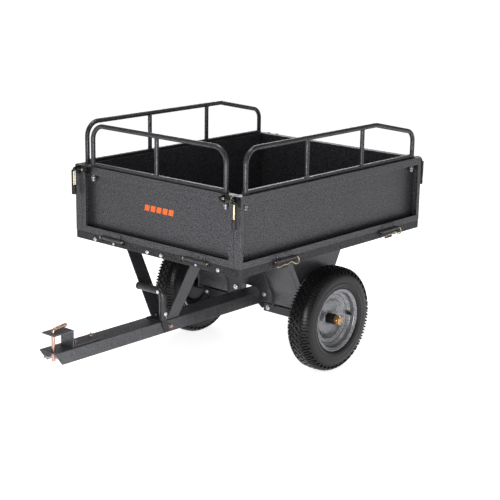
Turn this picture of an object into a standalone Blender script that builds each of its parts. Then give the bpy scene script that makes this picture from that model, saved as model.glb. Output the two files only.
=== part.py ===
"""Tow-behind dump cart: a steel tray with four fold-down sides and guard rails,
carried on one axle with pneumatic wheels and pulled by a channel tongue.

Units are metres, +Z is up, the tongue points along -Y and the cart's left side is +X.
Everything is laid out in a "box frame" whose Y starts at the front face of the tray and
whose Z starts at the ground; the root empty shifts it so that the whole cart is centred
on the origin."""
import math

import bmesh
import bpy
from mathutils import Matrix, Vector

# ------------------------------------------------------------------ driving dimensions
BOX_HALF_WIDTH = 0.380        # outer face of a side panel
BOX_LENGTH = 0.963
PANEL_TOP = 0.700             # ground to the top edge of the panels
PANEL_BOTTOM = 0.4705
SIDE_DEPTH = 0.029            # depth of a side panel's tray section
END_DEPTH = 0.025             # depth of the front and rear panels' tray section
END_HALF_WIDTH = 0.3485
SHEET = 0.0015
PAN_TOP = 0.4695
PAN_SKIRT = 0.027
PAN_SHEET = 0.002
GAP = 0.0003                  # between pieces that touch
LATCH_REACH = 0.0265          # how far a corner latch stands off the end faces
TONGUE_TIP = -0.457
TONGUE_HALF = 0.0377
TONGUE_TOP = 0.227
TONGUE_BOTTOM = 0.186
TONGUE_WALL = 0.003
AXLE_Y = 0.531
WHEEL_RADIUS = 0.1835
AXLE_RADIUS = 0.0125
WHEEL_PLANE = 0.318           # x of the wheel's centre plane
HINGE_OUT = 0.007             # hinge axis outside the panel face
HINGE_Z = 0.466
HINGE_PIN_R = 0.0026
RAIL_R = 0.008
STRUT_R = 0.0075
RAIL_BEND = 0.050
RAIL_TOP_Z = 0.840
RAIL_FOOT_Z = 0.656
LATCH_Z = 0.690
LATCH_OUT = 0.018             # latch pin's axis in front of the end face
LATCH_PIN_R = 0.004
ORIGIN_Y = -(TONGUE_TIP + BOX_LENGTH + LATCH_REACH) / 2

COLOURS = {
    "powder_coat": ((0.045, 0.047, 0.050), 0.55, 0.35),
    "painted_steel": ((0.050, 0.052, 0.056), 0.45, 0.40),
    "tray_black": ((0.018, 0.018, 0.020), 0.60, 0.30),
    "zinc_gold": ((0.62, 0.43, 0.20), 0.32, 0.90),
    "black_fitting": ((0.015, 0.015, 0.016), 0.50, 0.20),
    "rubber": ((0.020, 0.020, 0.021), 0.85, 0.0),
    "grip_black": ((0.012, 0.012, 0.012), 0.70, 0.0),
    "wheel_grey": ((0.110, 0.115, 0.122), 0.45, 0.45),
    "bush_nylon": ((0.70, 0.69, 0.65), 0.60, 0.0),
    "bright_steel": ((0.55, 0.56, 0.58), 0.35, 0.90),
}

# ------------------------------------------------------------------ scene and helpers
for old in list(bpy.data.objects):
    bpy.data.objects.remove(old, do_unlink=True)
for old in list(bpy.data.meshes) + list(bpy.data.curves):
    (bpy.data.meshes if isinstance(old, bpy.types.Mesh) else bpy.data.curves).remove(old)

cart = bpy.data.collections.new("tow_behind_cart")
tools = bpy.data.collections.new("cutters")
bpy.context.scene.collection.children.link(cart)
bpy.context.scene.collection.children.link(tools)

MATERIALS = {}
for key, (rgb, rough, metal) in COLOURS.items():
    mat = bpy.data.materials.new(key)
    mat.use_nodes = True
    shader = mat.node_tree.nodes["Principled BSDF"]
    shader.inputs["Base Color"].default_value = (*rgb, 1.0)
    shader.inputs["Roughness"].default_value = rough
    shader.inputs["Metallic"].default_value = metal
    MATERIALS[key] = mat


def empty(name, at, parent=None):
    e = bpy.data.objects.new(name, None)
    e.empty_display_size = 0.05
    cart.objects.link(e)
    e.parent = parent
    e.location = Vector(at) - (Vector(ORIGINS[parent.name]) if parent else Vector())
    ORIGINS[name] = Vector(at)
    return e


ORIGINS = {}
root = bpy.data.objects.new("tow_cart", None)
cart.objects.link(root)
root.location = (0.0, ORIGIN_Y, 0.0)
ORIGINS["tow_cart"] = Vector((0, 0, 0))


def raw(bm, name="solid"):
    """A bmesh in box-frame coordinates becomes a loose working mesh object."""
    me = bpy.data.meshes.new(name)
    bm.to_mesh(me)
    bm.free()
    ob = bpy.data.objects.new(name, me)
    tools.objects.link(ob)
    ob.hide_render = True
    ob.display_type = 'WIRE'
    return ob


def box(lo, hi):
    bm = bmesh.new()
    bmesh.ops.create_cube(bm, size=1.0)
    lo, hi = Vector(lo), Vector(hi)
    size, mid = hi - lo, (hi + lo) / 2
    for v in bm.verts:
        v.co = Vector((v.co.x * size.x, v.co.y * size.y, v.co.z * size.z)) + mid
    return raw(bm)


def rod(p0, p1, r, n=12, r2=None, turn=0.0):
    """A round bar between two points."""
    p0, p1 = Vector(p0), Vector(p1)
    d = p1 - p0
    bm = bmesh.new()
    bmesh.ops.create_cone(bm, cap_ends=True, cap_tris=False, segments=n, radius1=r,
                          radius2=r if r2 is None else r2, depth=d.length)
    q = d.to_track_quat('Z', 'Y').to_matrix().to_4x4()
    bmesh.ops.transform(bm, verts=bm.verts,
                        matrix=Matrix.Translation((p0 + p1) / 2) @ q @ Matrix.Rotation(turn, 4, 'Z'))
    return raw(bm)


def from_curve(curve, matrix=None, weld=0.00005):
    """Curve data becomes a welded closed mesh object."""
    tmp = bpy.data.objects.new("curve_tmp", curve)
    tools.objects.link(tmp)
    if matrix is not None:
        tmp.matrix_world = matrix
    bpy.context.view_layer.update()
    dg = bpy.context.evaluated_depsgraph_get()
    me = bpy.data.meshes.new_from_object(tmp.evaluated_get(dg))
    me.transform(tmp.matrix_world)
    bpy.data.objects.remove(tmp, do_unlink=True)
    bm = bmesh.new()
    bm.from_mesh(me)
    bmesh.ops.remove_doubles(bm, verts=bm.verts, dist=weld)
    bmesh.ops.recalc_face_normals(bm, faces=bm.faces)
    bpy.data.meshes.remove(me)
    return raw(bm)


def wire(points, r, res=2):
    """A round wire or tube along a path, with closed ends; res 2 gives 8 sides."""
    cu = bpy.data.curves.new("wire", 'CURVE')
    cu.dimensions = '3D'
    cu.bevel_depth = r
    cu.bevel_resolution = res
    cu.use_fill_caps = True
    sp = cu.splines.new('POLY')
    sp.points.add(len(points) - 1)
    for p, co in zip(sp.points, points):
        p.co = (*co, 1.0)
    return from_curve(cu)


def plate(outline, lo, hi, plane='YZ'):
    """A flat outline given thickness. plane YZ: points are (y, z), thickness along X;
    XZ: points are (x, z), thickness along Y; XY: points are (x, y), thickness along Z."""
    cu = bpy.data.curves.new("plate", 'CURVE')
    cu.dimensions = '2D'
    cu.fill_mode = 'BOTH'
    cu.extrude = (hi - lo) / 2
    sp = cu.splines.new('POLY')
    sp.points.add(len(outline) - 1)
    for p, (a, b) in zip(sp.points, outline):
        p.co = (a, b, 0.0, 1.0)
    sp.use_cyclic_u = True
    mid = (lo + hi) / 2
    if plane == 'YZ':
        m = Matrix(((0, 0, 1, mid), (1, 0, 0, 0), (0, 1, 0, 0), (0, 0, 0, 1)))
    elif plane == 'XZ':
        m = Matrix(((1, 0, 0, 0), (0, 0, -1, mid), (0, 1, 0, 0), (0, 0, 0, 1)))
    else:
        m = Matrix(((1, 0, 0, 0), (0, 1, 0, 0), (0, 0, 1, mid), (0, 0, 0, 1)))
    return from_curve(cu, m)


def turned(profile, n):
    """A closed (radius, axial) outline turned about Z with a Screw modifier."""
    bm = bmesh.new()
    vs = [bm.verts.new((r, 0.0, a)) for r, a in profile]
    for i, v in enumerate(vs):
        bm.edges.new((v, vs[(i + 1) % len(vs)]))
    ob = raw(bm, "turned")
    sc = ob.modifiers.new("Screw", 'SCREW')
    sc.axis = 'Z'
    sc.angle = math.tau
    sc.steps = sc.render_steps = n
    sc.use_merge_vertices = True
    sc.merge_threshold = 0.00002
    bake(ob)
    bm = bmesh.new()
    bm.from_mesh(ob.data)
    bmesh.ops.remove_doubles(bm, verts=bm.verts, dist=0.00002)
    bmesh.ops.recalc_face_normals(bm, faces=bm.faces)
    bm.to_mesh(ob.data)
    bm.free()
    return ob


def bake(ob):
    bpy.context.view_layer.update()
    dg = bpy.context.evaluated_depsgraph_get()
    me = bpy.data.meshes.new_from_object(ob.evaluated_get(dg))
    ob.modifiers.clear()
    old = ob.data
    ob.data = me
    bpy.data.meshes.remove(old)


def combine(target, others, how):
    for other in others:
        b = target.modifiers.new("Boolean", 'BOOLEAN')
        b.operation = how
        b.solver = 'EXACT'
        b.object = other
        bake(target)
        bpy.data.objects.remove(other, do_unlink=True)
    return target


def join(target, *others):
    return combine(target, others, 'UNION')


def cut(target, *others):
    return combine(target, others, 'DIFFERENCE')


def mirrored(ob, axis='X', about=0.0):
    """The same working mesh on the other side of the cart."""
    me = ob.data.copy()
    k = 'XYZ'.index(axis)
    m = Matrix.Identity(4)
    m[k][k] = -1.0
    m[k][3] = 2 * about
    me.transform(m)
    me.flip_normals()
    new = bpy.data.objects.new("mirror", me)
    tools.objects.link(new)
    new.hide_render = True
    new.display_type = 'WIRE'
    return new


def finish(name, ob, material, parent, smooth=None):
    """A working mesh becomes a named part, its origin on its parent's joint axis."""
    bm = bmesh.new()
    bm.from_mesh(ob.data)
    bmesh.ops.remove_doubles(bm, verts=bm.verts, dist=0.000005)
    bmesh.ops.dissolve_degenerate(bm, edges=bm.edges, dist=0.000002)
    bm.to_mesh(ob.data)
    bm.free()
    ob.name = name
    ob.data.name = name
    ob.data.transform(Matrix.Translation(-ORIGINS[parent.name]))
    tools.objects.unlink(ob)
    cart.objects.link(ob)
    ob.hide_render = False
    ob.display_type = 'TEXTURED'
    ob.parent = parent
    ob.data.materials.clear()
    ob.data.materials.append(MATERIALS[material])
    if smooth:
        ob.data.shade_smooth()
        ob.data.set_sharp_from_angle(angle=math.radians(smooth))
    return ob


def arc(centre, r, a0, a1, n):
    """Points (a, b) on an arc, angles in degrees."""
    return [(centre[0] + r * math.cos(math.radians(a0 + (a1 - a0) * i / n)),
             centre[1] + r * math.sin(math.radians(a0 + (a1 - a0) * i / n))) for i in range(n + 1)]


def rounded(points, radii, seg=4):
    """A 3-D polyline with each inner corner turned into an arc of the given radius."""
    pts = [Vector(p) for p in points]
    out = [pts[0]]
    for i in range(1, len(pts) - 1):
        a, b, c = pts[i - 1], pts[i], pts[i + 1]
        u, v = (a - b).normalized(), (c - b).normalized()
        half = u.angle(v) / 2
        r = radii[i - 1] if isinstance(radii, (list, tuple)) else radii
        reach = r / math.tan(half)
        mid = b + (u + v).normalized() * (r / math.sin(half))
        s, e = b + u * reach - mid, b + v * reach - mid
        ang = s.angle(e)
        ax = s.cross(e).normalized()
        k = max(1, seg if ang > 0.6 else 2)
        for j in range(k + 1):
            out.append(mid + Matrix.Rotation(ang * j / k, 3, ax) @ s)
    out.append(pts[-1])
    return [tuple(p) for p in out]


# ------------------------------------------------------------------ joint frames
bed = empty("bed_frame", (0, AXLE_Y, WHEEL_RADIUS), root)
wheel_l = empty("wheel_left_axis", (WHEEL_PLANE, AXLE_Y, WHEEL_RADIUS), root)
wheel_r = empty("wheel_right_axis", (-WHEEL_PLANE, AXLE_Y, WHEEL_RADIUS), root)
front_axis = empty("front_panel_axis", (0, -HINGE_OUT, HINGE_Z), bed)
rear_axis = empty("rear_panel_axis", (0, BOX_LENGTH + HINGE_OUT, HINGE_Z), bed)
left_axis = empty("left_panel_axis", (BOX_HALF_WIDTH + HINGE_OUT, BOX_LENGTH / 2, HINGE_Z), bed)
right_axis = empty("right_panel_axis", (-BOX_HALF_WIDTH - HINGE_OUT, BOX_LENGTH / 2, HINGE_Z), bed)
PEDAL_PIVOT = (0.0415, 0.008, 0.243)
pedal_axis = empty("pedal_axis", PEDAL_PIVOT, bed)
HITCH_Y = -0.433
hitch_axis = empty("hitch_pin_axis", (0, HITCH_Y, TONGUE_TOP), root)

# ------------------------------------------------------------------ tongue
tongue = box((-TONGUE_HALF, TONGUE_TIP, 0.165), (TONGUE_HALF, 0.562, TONGUE_TOP))
inner = TONGUE_HALF - TONGUE_WALL
cut(tongue,
    box((-inner, TONGUE_TIP - 0.01, 0.150), (inner, 0.572, TONGUE_TOP - TONGUE_WALL)),
    plate([(TONGUE_TIP - 0.02, 0.150), (0.512, 0.150), (0.505, 0.165), (0.484, TONGUE_BOTTOM),
           (TONGUE_TIP + 0.027, TONGUE_BOTTOM), (TONGUE_TIP, TONGUE_TOP - 0.004),
           (TONGUE_TIP - 0.02, TONGUE_TOP - 0.004)], -0.05, 0.05),
    rod((-0.05, AXLE_Y, WHEEL_RADIUS), (0.05, AXLE_Y, WHEEL_RADIUS), 0.0129, 20),
    rod((0, HITCH_Y, 0.21), (0, HITCH_Y, 0.24), 0.0072, 12),
    rod((-0.05, 0.039, 0.206), (0.05, 0.039, 0.206), 0.0045, 10))
finish("tongue", tongue, "painted_steel", root)

# Z-shaped hitch bracket bolted to the tongue's web
hb = plate([(-0.258, 0.2273), (-0.258, 0.2323), (-0.3735, 0.2323), (-0.3735, 0.284),
            (-0.454, 0.284), (-0.454, 0.279), (-0.3785, 0.279), (-0.3785, 0.2273)], -0.0285, 0.0285)
cut(hb, rod((0, HITCH_Y, 0.27), (0, HITCH_Y, 0.29), 0.0072, 12))
finish("hitch_bracket", hb, "painted_steel", root)

# cross bolt through the tongue, which the release hook catches
cb = rod((-0.0385, 0.039, 0.206), (0.0445, 0.039, 0.206), 0.004, 10)
join(cb, rod((0.0443, 0.039, 0.206), (0.0490, 0.039, 0.206), 0.0075, 6),
     rod((-0.0435, 0.039, 0.206), (-0.0383, 0.039, 0.206), 0.0075, 6))
finish("tongue_cross_bolt", cb, "zinc_gold", root, 40)

# hitch pin, bent over at the top into a handle, with a cross hole for its clip
CLIP_Z = 0.200
ux, uy = -0.86, -0.5103
pin = wire(rounded([(0, HITCH_Y, 0.191), (0, HITCH_Y, 0.2915), (0, HITCH_Y + 0.052, 0.2975)], 0.010, 4),
           0.0062, 4)
cut(pin, rod((-0.02 * ux, HITCH_Y - 0.02 * uy, CLIP_Z), (0.02 * ux, HITCH_Y + 0.02 * uy, CLIP_Z), 0.0022, 8))
finish("hitch_pin", pin, "zinc_gold", hitch_axis, 50)


def clip_point(s, t):
    """s along the clip, t to its side."""
    return (s * ux + t * uy, HITCH_Y + s * uy - t * ux, CLIP_Z)


loop = arc((0.0265, 0.0052), 0.0055, -100, 110, 7)
clip = [clip_point(-0.014, 0.0), clip_point(0.012, 0.0), clip_point(0.021, 0.0002)]
clip += [clip_point(s, t) for s, t in loop]
clip += [clip_point(0.016, 0.0085), clip_point(0.009, 0.0105), clip_point(0.0, 0.0104),
         clip_point(-0.006, 0.0092), clip_point(-0.013, 0.0115)]
finish("hitch_clip", wire(clip, 0.0015, 1), "zinc_gold", hitch_axis, 50)

# ------------------------------------------------------------------ axle and wheels
AX = (AXLE_Y, WHEEL_RADIUS)
axle = rod((-0.364, *AX), (0.364, *AX), AXLE_RADIUS, 20)
join(axle, rod((0.2665, *AX), (0.2755, *AX), 0.018, 20), rod((-0.2755, *AX), (-0.2665, *AX), 0.018, 20))
finish("axle", axle, "painted_steel", root, 40)

TYRE_OUT = [(0.1012, 0.0334), (0.1107, 0.0368), (0.1113, 0.0400), (0.1250, 0.0462), (0.1440, 0.0470),
            (0.1620, 0.0440), (0.1770, 0.0330), (WHEEL_RADIUS, 0.0110)]
TYRE_IN = [(0.1760, 0.0090), (0.1690, 0.0270), (0.1560, 0.0370), (0.1410, 0.0395), (0.1200, 0.0365), (0.1018, 0.0270)]
tyre_profile = (TYRE_OUT + [(r, -a) for r, a in reversed(TYRE_OUT)]
                + [(r, -a) for r, a in reversed(TYRE_IN)] + TYRE_IN)
RIM = [(0.1100, 0.0385), (0.1092, 0.0402), (0.1068, 0.0402), (0.0985, 0.0362), (0.0955, 0.0210),
       (0.0838, 0.0150), (0.0830, 0.0125), (0.0715, 0.0105), (0.0580, -0.0030), (0.0180, -0.0045),
       (0.0180, 0.0295), (0.0143, 0.0295), (0.0143, -0.0400), (0.0180, -0.0400),
       (0.0180, -0.0080), (0.0590, -0.0062), (0.0725, 0.0075), (0.0838, 0.0092),
       (0.0838, -0.0150), (0.0955, -0.0210), (0.0985, -0.0362), (0.1068, -0.0402),
       (0.1092, -0.0402), (0.1100, -0.0385), (0.1002, -0.0345),
       (0.0978, -0.0195), (0.0862, -0.0135), (0.0862, 0.0135), (0.0978, 0.0195), (0.1002, 0.0345)]
for side, frame, turn in (("left", wheel_l, 1), ("right", wheel_r, -1)):
    spin = Matrix.Translation((turn * WHEEL_PLANE, AXLE_Y, WHEEL_RADIUS)) @ Matrix.Rotation(turn * math.pi / 2, 4, 'Y')
    for nm, prof, n, mat in (("tyre", tyre_profile, 36, "rubber"), ("rim", RIM, 24, "wheel_grey")):
        ob = turned(prof, n)
        ob.data.transform(spin)
        finish(f"{nm}_{side}", ob, mat, frame, 30)
    bush = turned([(0.0140, 0.0290), (0.0140, -0.0395), (0.0128, -0.0395), (0.0128, 0.0290)], 20)
    bush.data.transform(spin)
    finish(f"hub_bush_{side}", bush, "bush_nylon", frame, 30)
    cap = turned([(0.0150, 0.0330), (0.0128, 0.0330), (0.0128, 0.0475), (0.0045, 0.0482), (0.0045, 0.0512),
                  (0.0135, 0.0512), (0.0150, 0.0490)], 20)
    cap.data.transform(spin)
    finish(f"hub_cap_{side}", cap, "zinc_gold", root, 30)

# ------------------------------------------------------------------ tray (bed pan) with its hinge lugs
HINGES = {"front": [("right", -0.195), ("left", 0.195)], "rear": [("right", -0.195), ("left", 0.195)],
          "left": [("front", 0.211), ("rear", 0.778)], "right": [("front", 0.211), ("rear", 0.778)]}


def placed(side, u, v, w):
    """Hinge coordinates (along the edge, outward from the panel face, up) to the box frame."""
    if side == "front":
        return (u, -v, w)
    if side == "rear":
        return (u, BOX_LENGTH + v, w)
    if side == "left":
        return (BOX_HALF_WIDTH + v, u, w)
    return (-BOX_HALF_WIDTH - v, u, w)


def slab(side, u0, u1, v0, v1, w0, w1):
    a, b = placed(side, u0, v0, w0), placed(side, u1, v1, w1)
    return box([min(p, q) for p, q in zip(a, b)], [max(p, q) for p, q in zip(a, b)])


def bar(side, u0, u1, v, w, r, n):
    return rod(placed(side, u0, v, w), placed(side, u1, v, w), r, n)


pan = box((-0.379, 0.001, PAN_TOP - PAN_SKIRT), (0.379, BOX_LENGTH - 0.001, PAN_TOP))
cut(pan, box((-0.377, 0.003, 0.43), (0.377, BOX_LENGTH - 0.003, PAN_TOP - PAN_SHEET)))
for side, spots in HINGES.items():
    for _, c in spots:
        low = 0.4360 if side in ("left", "right") else 0.4445
        lug = slab(side, c - 0.049, c + 0.049, -0.0015, 0.0012, 0.4445, 0.4580)
        if side in ("left", "right"):
            join(lug, slab(side, c - 0.020, c + 0.022, -0.0012, 0.0010, low, 0.4560))
        for s in (-1, 1):
            u0, u1 = sorted((c + s * 0.046, c + s * 0.049))
            ear = bar(side, u0, u1, HINGE_OUT, HINGE_Z, 0.0060, 8)
            join(ear, slab(side, u0, u1, -0.0015, 0.0085, 0.4535, 0.4660))
            cut(ear, bar(side, u0 - 0.01, u1 + 0.01, HINGE_OUT, HINGE_Z, 0.0031, 8))
            join(lug, ear)
        join(pan, lug)
finish("bed_pan", pan, "tray_black", bed)

# hinge pins: straight ones with a head at the front and rear, hairpin clips at the sides
for side, spots in HINGES.items():
    for where, c in spots:
        if side in ("front", "rear"):
            p = bar(side, c - 0.0530, c + 0.0530, HINGE_OUT, HINGE_Z, HINGE_PIN_R, 8)
            join(p, bar(side, c - 0.0560, c - 0.0527, HINGE_OUT, HINGE_Z, 0.0048, 8))
        else:
            pts = [(-0.0535, 0.007, 0.466), (0.0500, 0.007, 0.466)]
            pts += [(0.0520 + a, 0.007 + 0.0055 * i / 6, b) for i, (a, b) in
                    enumerate(arc((0.0, 0.455), 0.011, 90, -90, 6))]
            pts += [(0.0400, 0.0128, 0.4465), (0.0270, 0.0130, 0.4540), (0.0160, 0.0130, 0.4560),
                    (0.0020, 0.0130, 0.4515), (-0.0140, 0.0130, 0.4530), (-0.0500, 0.0130, 0.4520)]
            p = wire([placed(side, c + a, b, w) for a, b, w in pts], HINGE_PIN_R - 0.0002, 1)
        finish(f"hinge_pin_{side}_{where}", p, "zinc_gold", bed, 50)

# ------------------------------------------------------------------ drop sides
LIP_TOP = 0.675


def knuckles(side, panel):
    for _, c in HINGES[side]:
        k = bar(side, c - 0.0445, c + 0.0445, HINGE_OUT, HINGE_Z, 0.0056, 8)
        join(k, slab(side, c - 0.036, c + 0.036, -0.0008, 0.0026, 0.4650, 0.4880))
        cut(k, bar(side, c - 0.06, c + 0.06, HINGE_OUT, HINGE_Z, 0.0032, 8))
        join(panel, k)


def end_panel(side):
    y0 = 0.0 if side == "front" else BOX_LENGTH - END_DEPTH
    y1 = y0 + END_DEPTH
    ob = box((-END_HALF_WIDTH, y0, PANEL_BOTTOM), (END_HALF_WIDTH, y1, PANEL_TOP))
    w = END_HALF_WIDTH - SHEET
    cut(ob, box((-w, y0 + SHEET, PANEL_BOTTOM + SHEET), (w, y1 - SHEET, PANEL_TOP - SHEET)))
    f0, f1 = (y0 - 0.01, y0 + 0.008) if side == "front" else (y1 - 0.008, y1 + 0.01)
    cut(ob, box((-0.3305, f0, 0.4915), (0.3305, f1, LIP_TOP)))
    return ob


FRONT_RAIL_Y = 0.0145
SIDE_RAIL_X = 0.3615
SIDE_LEGS = (0.040, 0.929)
front = end_panel("front")
cut(front, *[rod((s * 0.304, FRONT_RAIL_Y, 0.690), (s * 0.304, FRONT_RAIL_Y, 0.710), 0.0086, 12) for s in (-1, 1)])
knuckles("front", front)
finish("front_panel", front, "powder_coat", front_axis)
rear = end_panel("rear")
knuckles("rear", rear)
finish("rear_panel", rear, "powder_coat", rear_axis)
for side, s, frame in (("left", 1, left_axis), ("right", -1, right_axis)):
    x0 = BOX_HALF_WIDTH - SIDE_DEPTH
    ob = box((x0, 0.0, PANEL_BOTTOM), (BOX_HALF_WIDTH, BOX_LENGTH, PANEL_TOP))
    cut(ob, box((x0 + SHEET, SHEET, PANEL_BOTTOM + SHEET),
                (BOX_HALF_WIDTH - SHEET, BOX_LENGTH - SHEET, PANEL_TOP - SHEET)),
        box((0.372, 0.0125, 0.4905), (0.39, 0.947, LIP_TOP)),
        *[rod((SIDE_RAIL_X, y, 0.690), (SIDE_RAIL_X, y, 0.710), 0.0086, 12) for y in SIDE_LEGS])
    if s < 0:
        other = mirrored(ob)
        bpy.data.objects.remove(ob, do_unlink=True)
        ob = other
    knuckles(side, ob)
    finish(f"{side}_panel", ob, "powder_coat", frame)

# ------------------------------------------------------------------ guard rails
BAR = (0.7005, 0.7125)
y = FRONT_RAIL_Y
rail = wire(rounded([(-0.304, y, RAIL_FOOT_Z), (-0.304, y, RAIL_TOP_Z), (0.304, y, RAIL_TOP_Z),
                     (0.304, y, RAIL_FOOT_Z)], RAIL_BEND, 4), RAIL_R, 3)
join(rail, box((-0.305, y - 0.006, BAR[0]), (0.305, y + 0.006, BAR[1])),
     rod((0, y, 0.708), (0, y, RAIL_TOP_Z), STRUT_R, 10))
finish("front_guard_rail", rail, "powder_coat", front_axis, 40)
for side, s, frame in (("left", 1, left_axis), ("right", -1, right_axis)):
    x = SIDE_RAIL_X
    path = rounded([(x, SIDE_LEGS[0], RAIL_FOOT_Z), (x, SIDE_LEGS[0], RAIL_TOP_Z), (x, 0.708, 0.841),
                    (x, SIDE_LEGS[1], 0.792), (x, SIDE_LEGS[1], RAIL_FOOT_Z)], [RAIL_BEND, 0.05, 0.040], 4)
    rail = wire(path, RAIL_R, 3)
    join(rail, box((x - 0.006, SIDE_LEGS[0] - 0.001, BAR[0]), (x + 0.006, SIDE_LEGS[1] + 0.001, BAR[1])),
         *[rod((x, yy, 0.708), (x, yy, RAIL_TOP_Z), STRUT_R, 10) for yy in (0.337, 0.631)])
    if s < 0:
        other = mirrored(rail)
        bpy.data.objects.remove(rail, do_unlink=True)
        rail = other
    finish(f"{side}_guard_rail", rail, "powder_coat", frame, 40)

# ------------------------------------------------------------------ corner latches
# an L-shaped pin slides along X through an ear on the side panel into an eye on the end panel
for end, flip in (("front", False), ("rear", True)):
    for side, s in (("left", 1), ("right", -1)):
        side_axis = left_axis if s > 0 else right_axis
        end_axis = rear_axis if flip else front_axis

        def corner(ob):
            if s < 0:
                new = mirrored(ob)
                bpy.data.objects.remove(ob, do_unlink=True)
                ob = new
            if flip:
                new = mirrored(ob, 'Y', BOX_LENGTH / 2)
                bpy.data.objects.remove(ob, do_unlink=True)
                ob = new
            return ob

        tag = f"{end}_{side}"
        ear_out = ([(-0.0004, 0.6995), (-0.018, 0.6985)] + arc((-LATCH_OUT, LATCH_Z), 0.0085, 90, 270, 6)
                   + [(-0.0004, 0.672)])
        brk = plate(ear_out, 0.3515, 0.3545)
        join(brk, box((0.3516, -0.0028, 0.668), (0.3772, -GAP, 0.6995)))
        cut(brk, rod((0.34, -LATCH_OUT, LATCH_Z), (0.36, -LATCH_OUT, LATCH_Z), 0.0046, 12))
        finish(f"latch_bracket_{tag}", corner(brk), "black_fitting", side_axis, 40)
        eye = plate(ear_out, 0.3115, 0.3145)
        join(eye, box((0.2990, -0.0028, 0.672), (0.3144, -GAP, 0.6995)))
        cut(eye, rod((0.30, -LATCH_OUT, LATCH_Z), (0.32, -LATCH_OUT, LATCH_Z), 0.0046, 12))
        finish(f"latch_eye_{tag}", corner(eye), "black_fitting", end_axis, 40)
        lp = wire(rounded([(0.3165, -LATCH_OUT, LATCH_Z), (0.368, -LATCH_OUT, LATCH_Z),
                           (0.368, -LATCH_OUT, 0.606)], 0.006, 3), LATCH_PIN_R, 2)
        holder = empty(f"latch_slide_{tag}", (s * 0.368, (BOX_LENGTH + LATCH_OUT) if flip else -LATCH_OUT, LATCH_Z),
                       side_axis)
        finish(f"latch_pin_{tag}", corner(lp), "zinc_gold", holder, 50)
        grip = rod((0.368, -LATCH_OUT, 0.5985), (0.368, -LATCH_OUT, 0.6250), 0.0065, 12)
        cut(grip, rod((0.368, -LATCH_OUT, 0.6050), (0.368, -LATCH_OUT, 0.64), 0.0045, 12))
        finish(f"latch_grip_{tag}", corner(grip), "grip_black", holder, 40)

# ------------------------------------------------------------------ axle brackets, saddles and bridge
TOP = PAN_TOP - PAN_SHEET - GAP
SIDE_VIEW = [(0.357, TOP), (0.482, 0.236), (0.482, 0.200), (0.580, 0.200), (0.580, 0.236), (0.705, TOP)]


def inset(points, d):
    """The bracket's side outline moved inward by d along Y on its sloping edges."""
    return [(y + d if y < AXLE_Y else y - d, z) for y, z in points]


for side, s in (("left", 1), ("right", -1)):
    cheek = ([(0.357, TOP), (0.482, 0.236), (0.482, 0.1868)]
             + [(y, z) for y, z in arc((AXLE_Y, WHEEL_RADIUS), 0.0131, 165.5, 14.5, 10)]
             + [(0.580, 0.1868), (0.580, 0.236), (0.705, TOP)])
    cheek = cheek[:3] + [(y, max(z, 0.1868)) for y, z in cheek[3:-3]] + cheek[-3:]
    brk = plate(cheek, 0.105, 0.108)
    join(brk, plate(cheek, 0.257, 0.260))
    # front and rear sheets stand 4 mm inside the cheeks' edges
    a, b = inset(SIDE_VIEW, 0.004), inset(SIDE_VIEW, 0.0068)
    shell = plate(a, 0.1075, 0.2575)
    cut(shell, plate([(b[0][0], TOP + 0.01), (b[1][0], 0.2365), (b[1][0], 0.2026), (b[4][0], 0.2026),
                      (b[4][0], 0.2365), (b[5][0], TOP + 0.01)], 0.10, 0.27))
    join(brk, shell)
    if s < 0:
        other = mirrored(brk)
        bpy.data.objects.remove(brk, do_unlink=True)
        brk = other
    finish(f"axle_bracket_{side}", brk, "painted_steel", bed)

    # U-shaped saddle that closes the bracket under the axle
    sad = box((0.045, 0.503, 0.158), (0.250, 0.559, 0.1865))
    cut(sad, box((0.048, 0.5058, 0.1608), (0.247, 0.5562, 0.20)),
        rod((0.03, AXLE_Y, WHEEL_RADIUS), (0.27, AXLE_Y, WHEEL_RADIUS), 0.0130, 20))
    if s < 0:
        other = mirrored(sad)
        bpy.data.objects.remove(sad, do_unlink=True)
        sad = other
    finish(f"axle_saddle_{side}", sad, "painted_steel", bed)

bridge = plate([(0.3545, TOP), (0.4785, 0.236), (0.4785, 0.200), (0.4810, 0.200), (0.4810, 0.2365),
                (0.3573, TOP)], -0.1043, 0.1043)
arch = [(-0.044, 0.19), (-0.044, 0.238)] + arc((-0.032, 0.238), 0.012, 180, 90, 4)[1:] \
    + arc((0.032, 0.238), 0.012, 90, 0, 4) + [(0.044, 0.19)]
cut(bridge, plate(arch, 0.44, 0.50, 'XZ'))
finish("bracket_bridge", bridge, "painted_steel", bed)

# ------------------------------------------------------------------ V braces from the tongue to the tray
for side, s in (("left", 1), ("right", -1)):
    strap = [(0.010, 0.2306), (0.0375, 0.2306), (0.1655, 0.4642), (0.205, 0.4642), (0.205, TOP), (0.1632, TOP),
             (0.0355, 0.2336), (0.010, 0.2336)]
    br = plate(strap, 0.020, 0.075, 'XZ')
    join(br, box((0.170, 0.0204, 0.4450), (0.2046, 0.0232, 0.4650)))
    if s < 0:
        other = mirrored(br)
        bpy.data.objects.remove(br, do_unlink=True)
        br = other
    finish(f"brace_{side}", br, "painted_steel", bed)
foot = box((-0.0345, -0.004, 0.2273), (0.0345, 0.083, 0.2303))
lug = box((0.0315, -0.004, 0.2290), (0.0345, 0.0180, 0.2540))
join(foot, lug)
py, pz = PEDAL_PIVOT[1:]
cut(foot, rod((0.02, py, pz), (0.05, py, pz), 0.0040, 10))
finish("brace_foot", foot, "painted_steel", bed)

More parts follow.
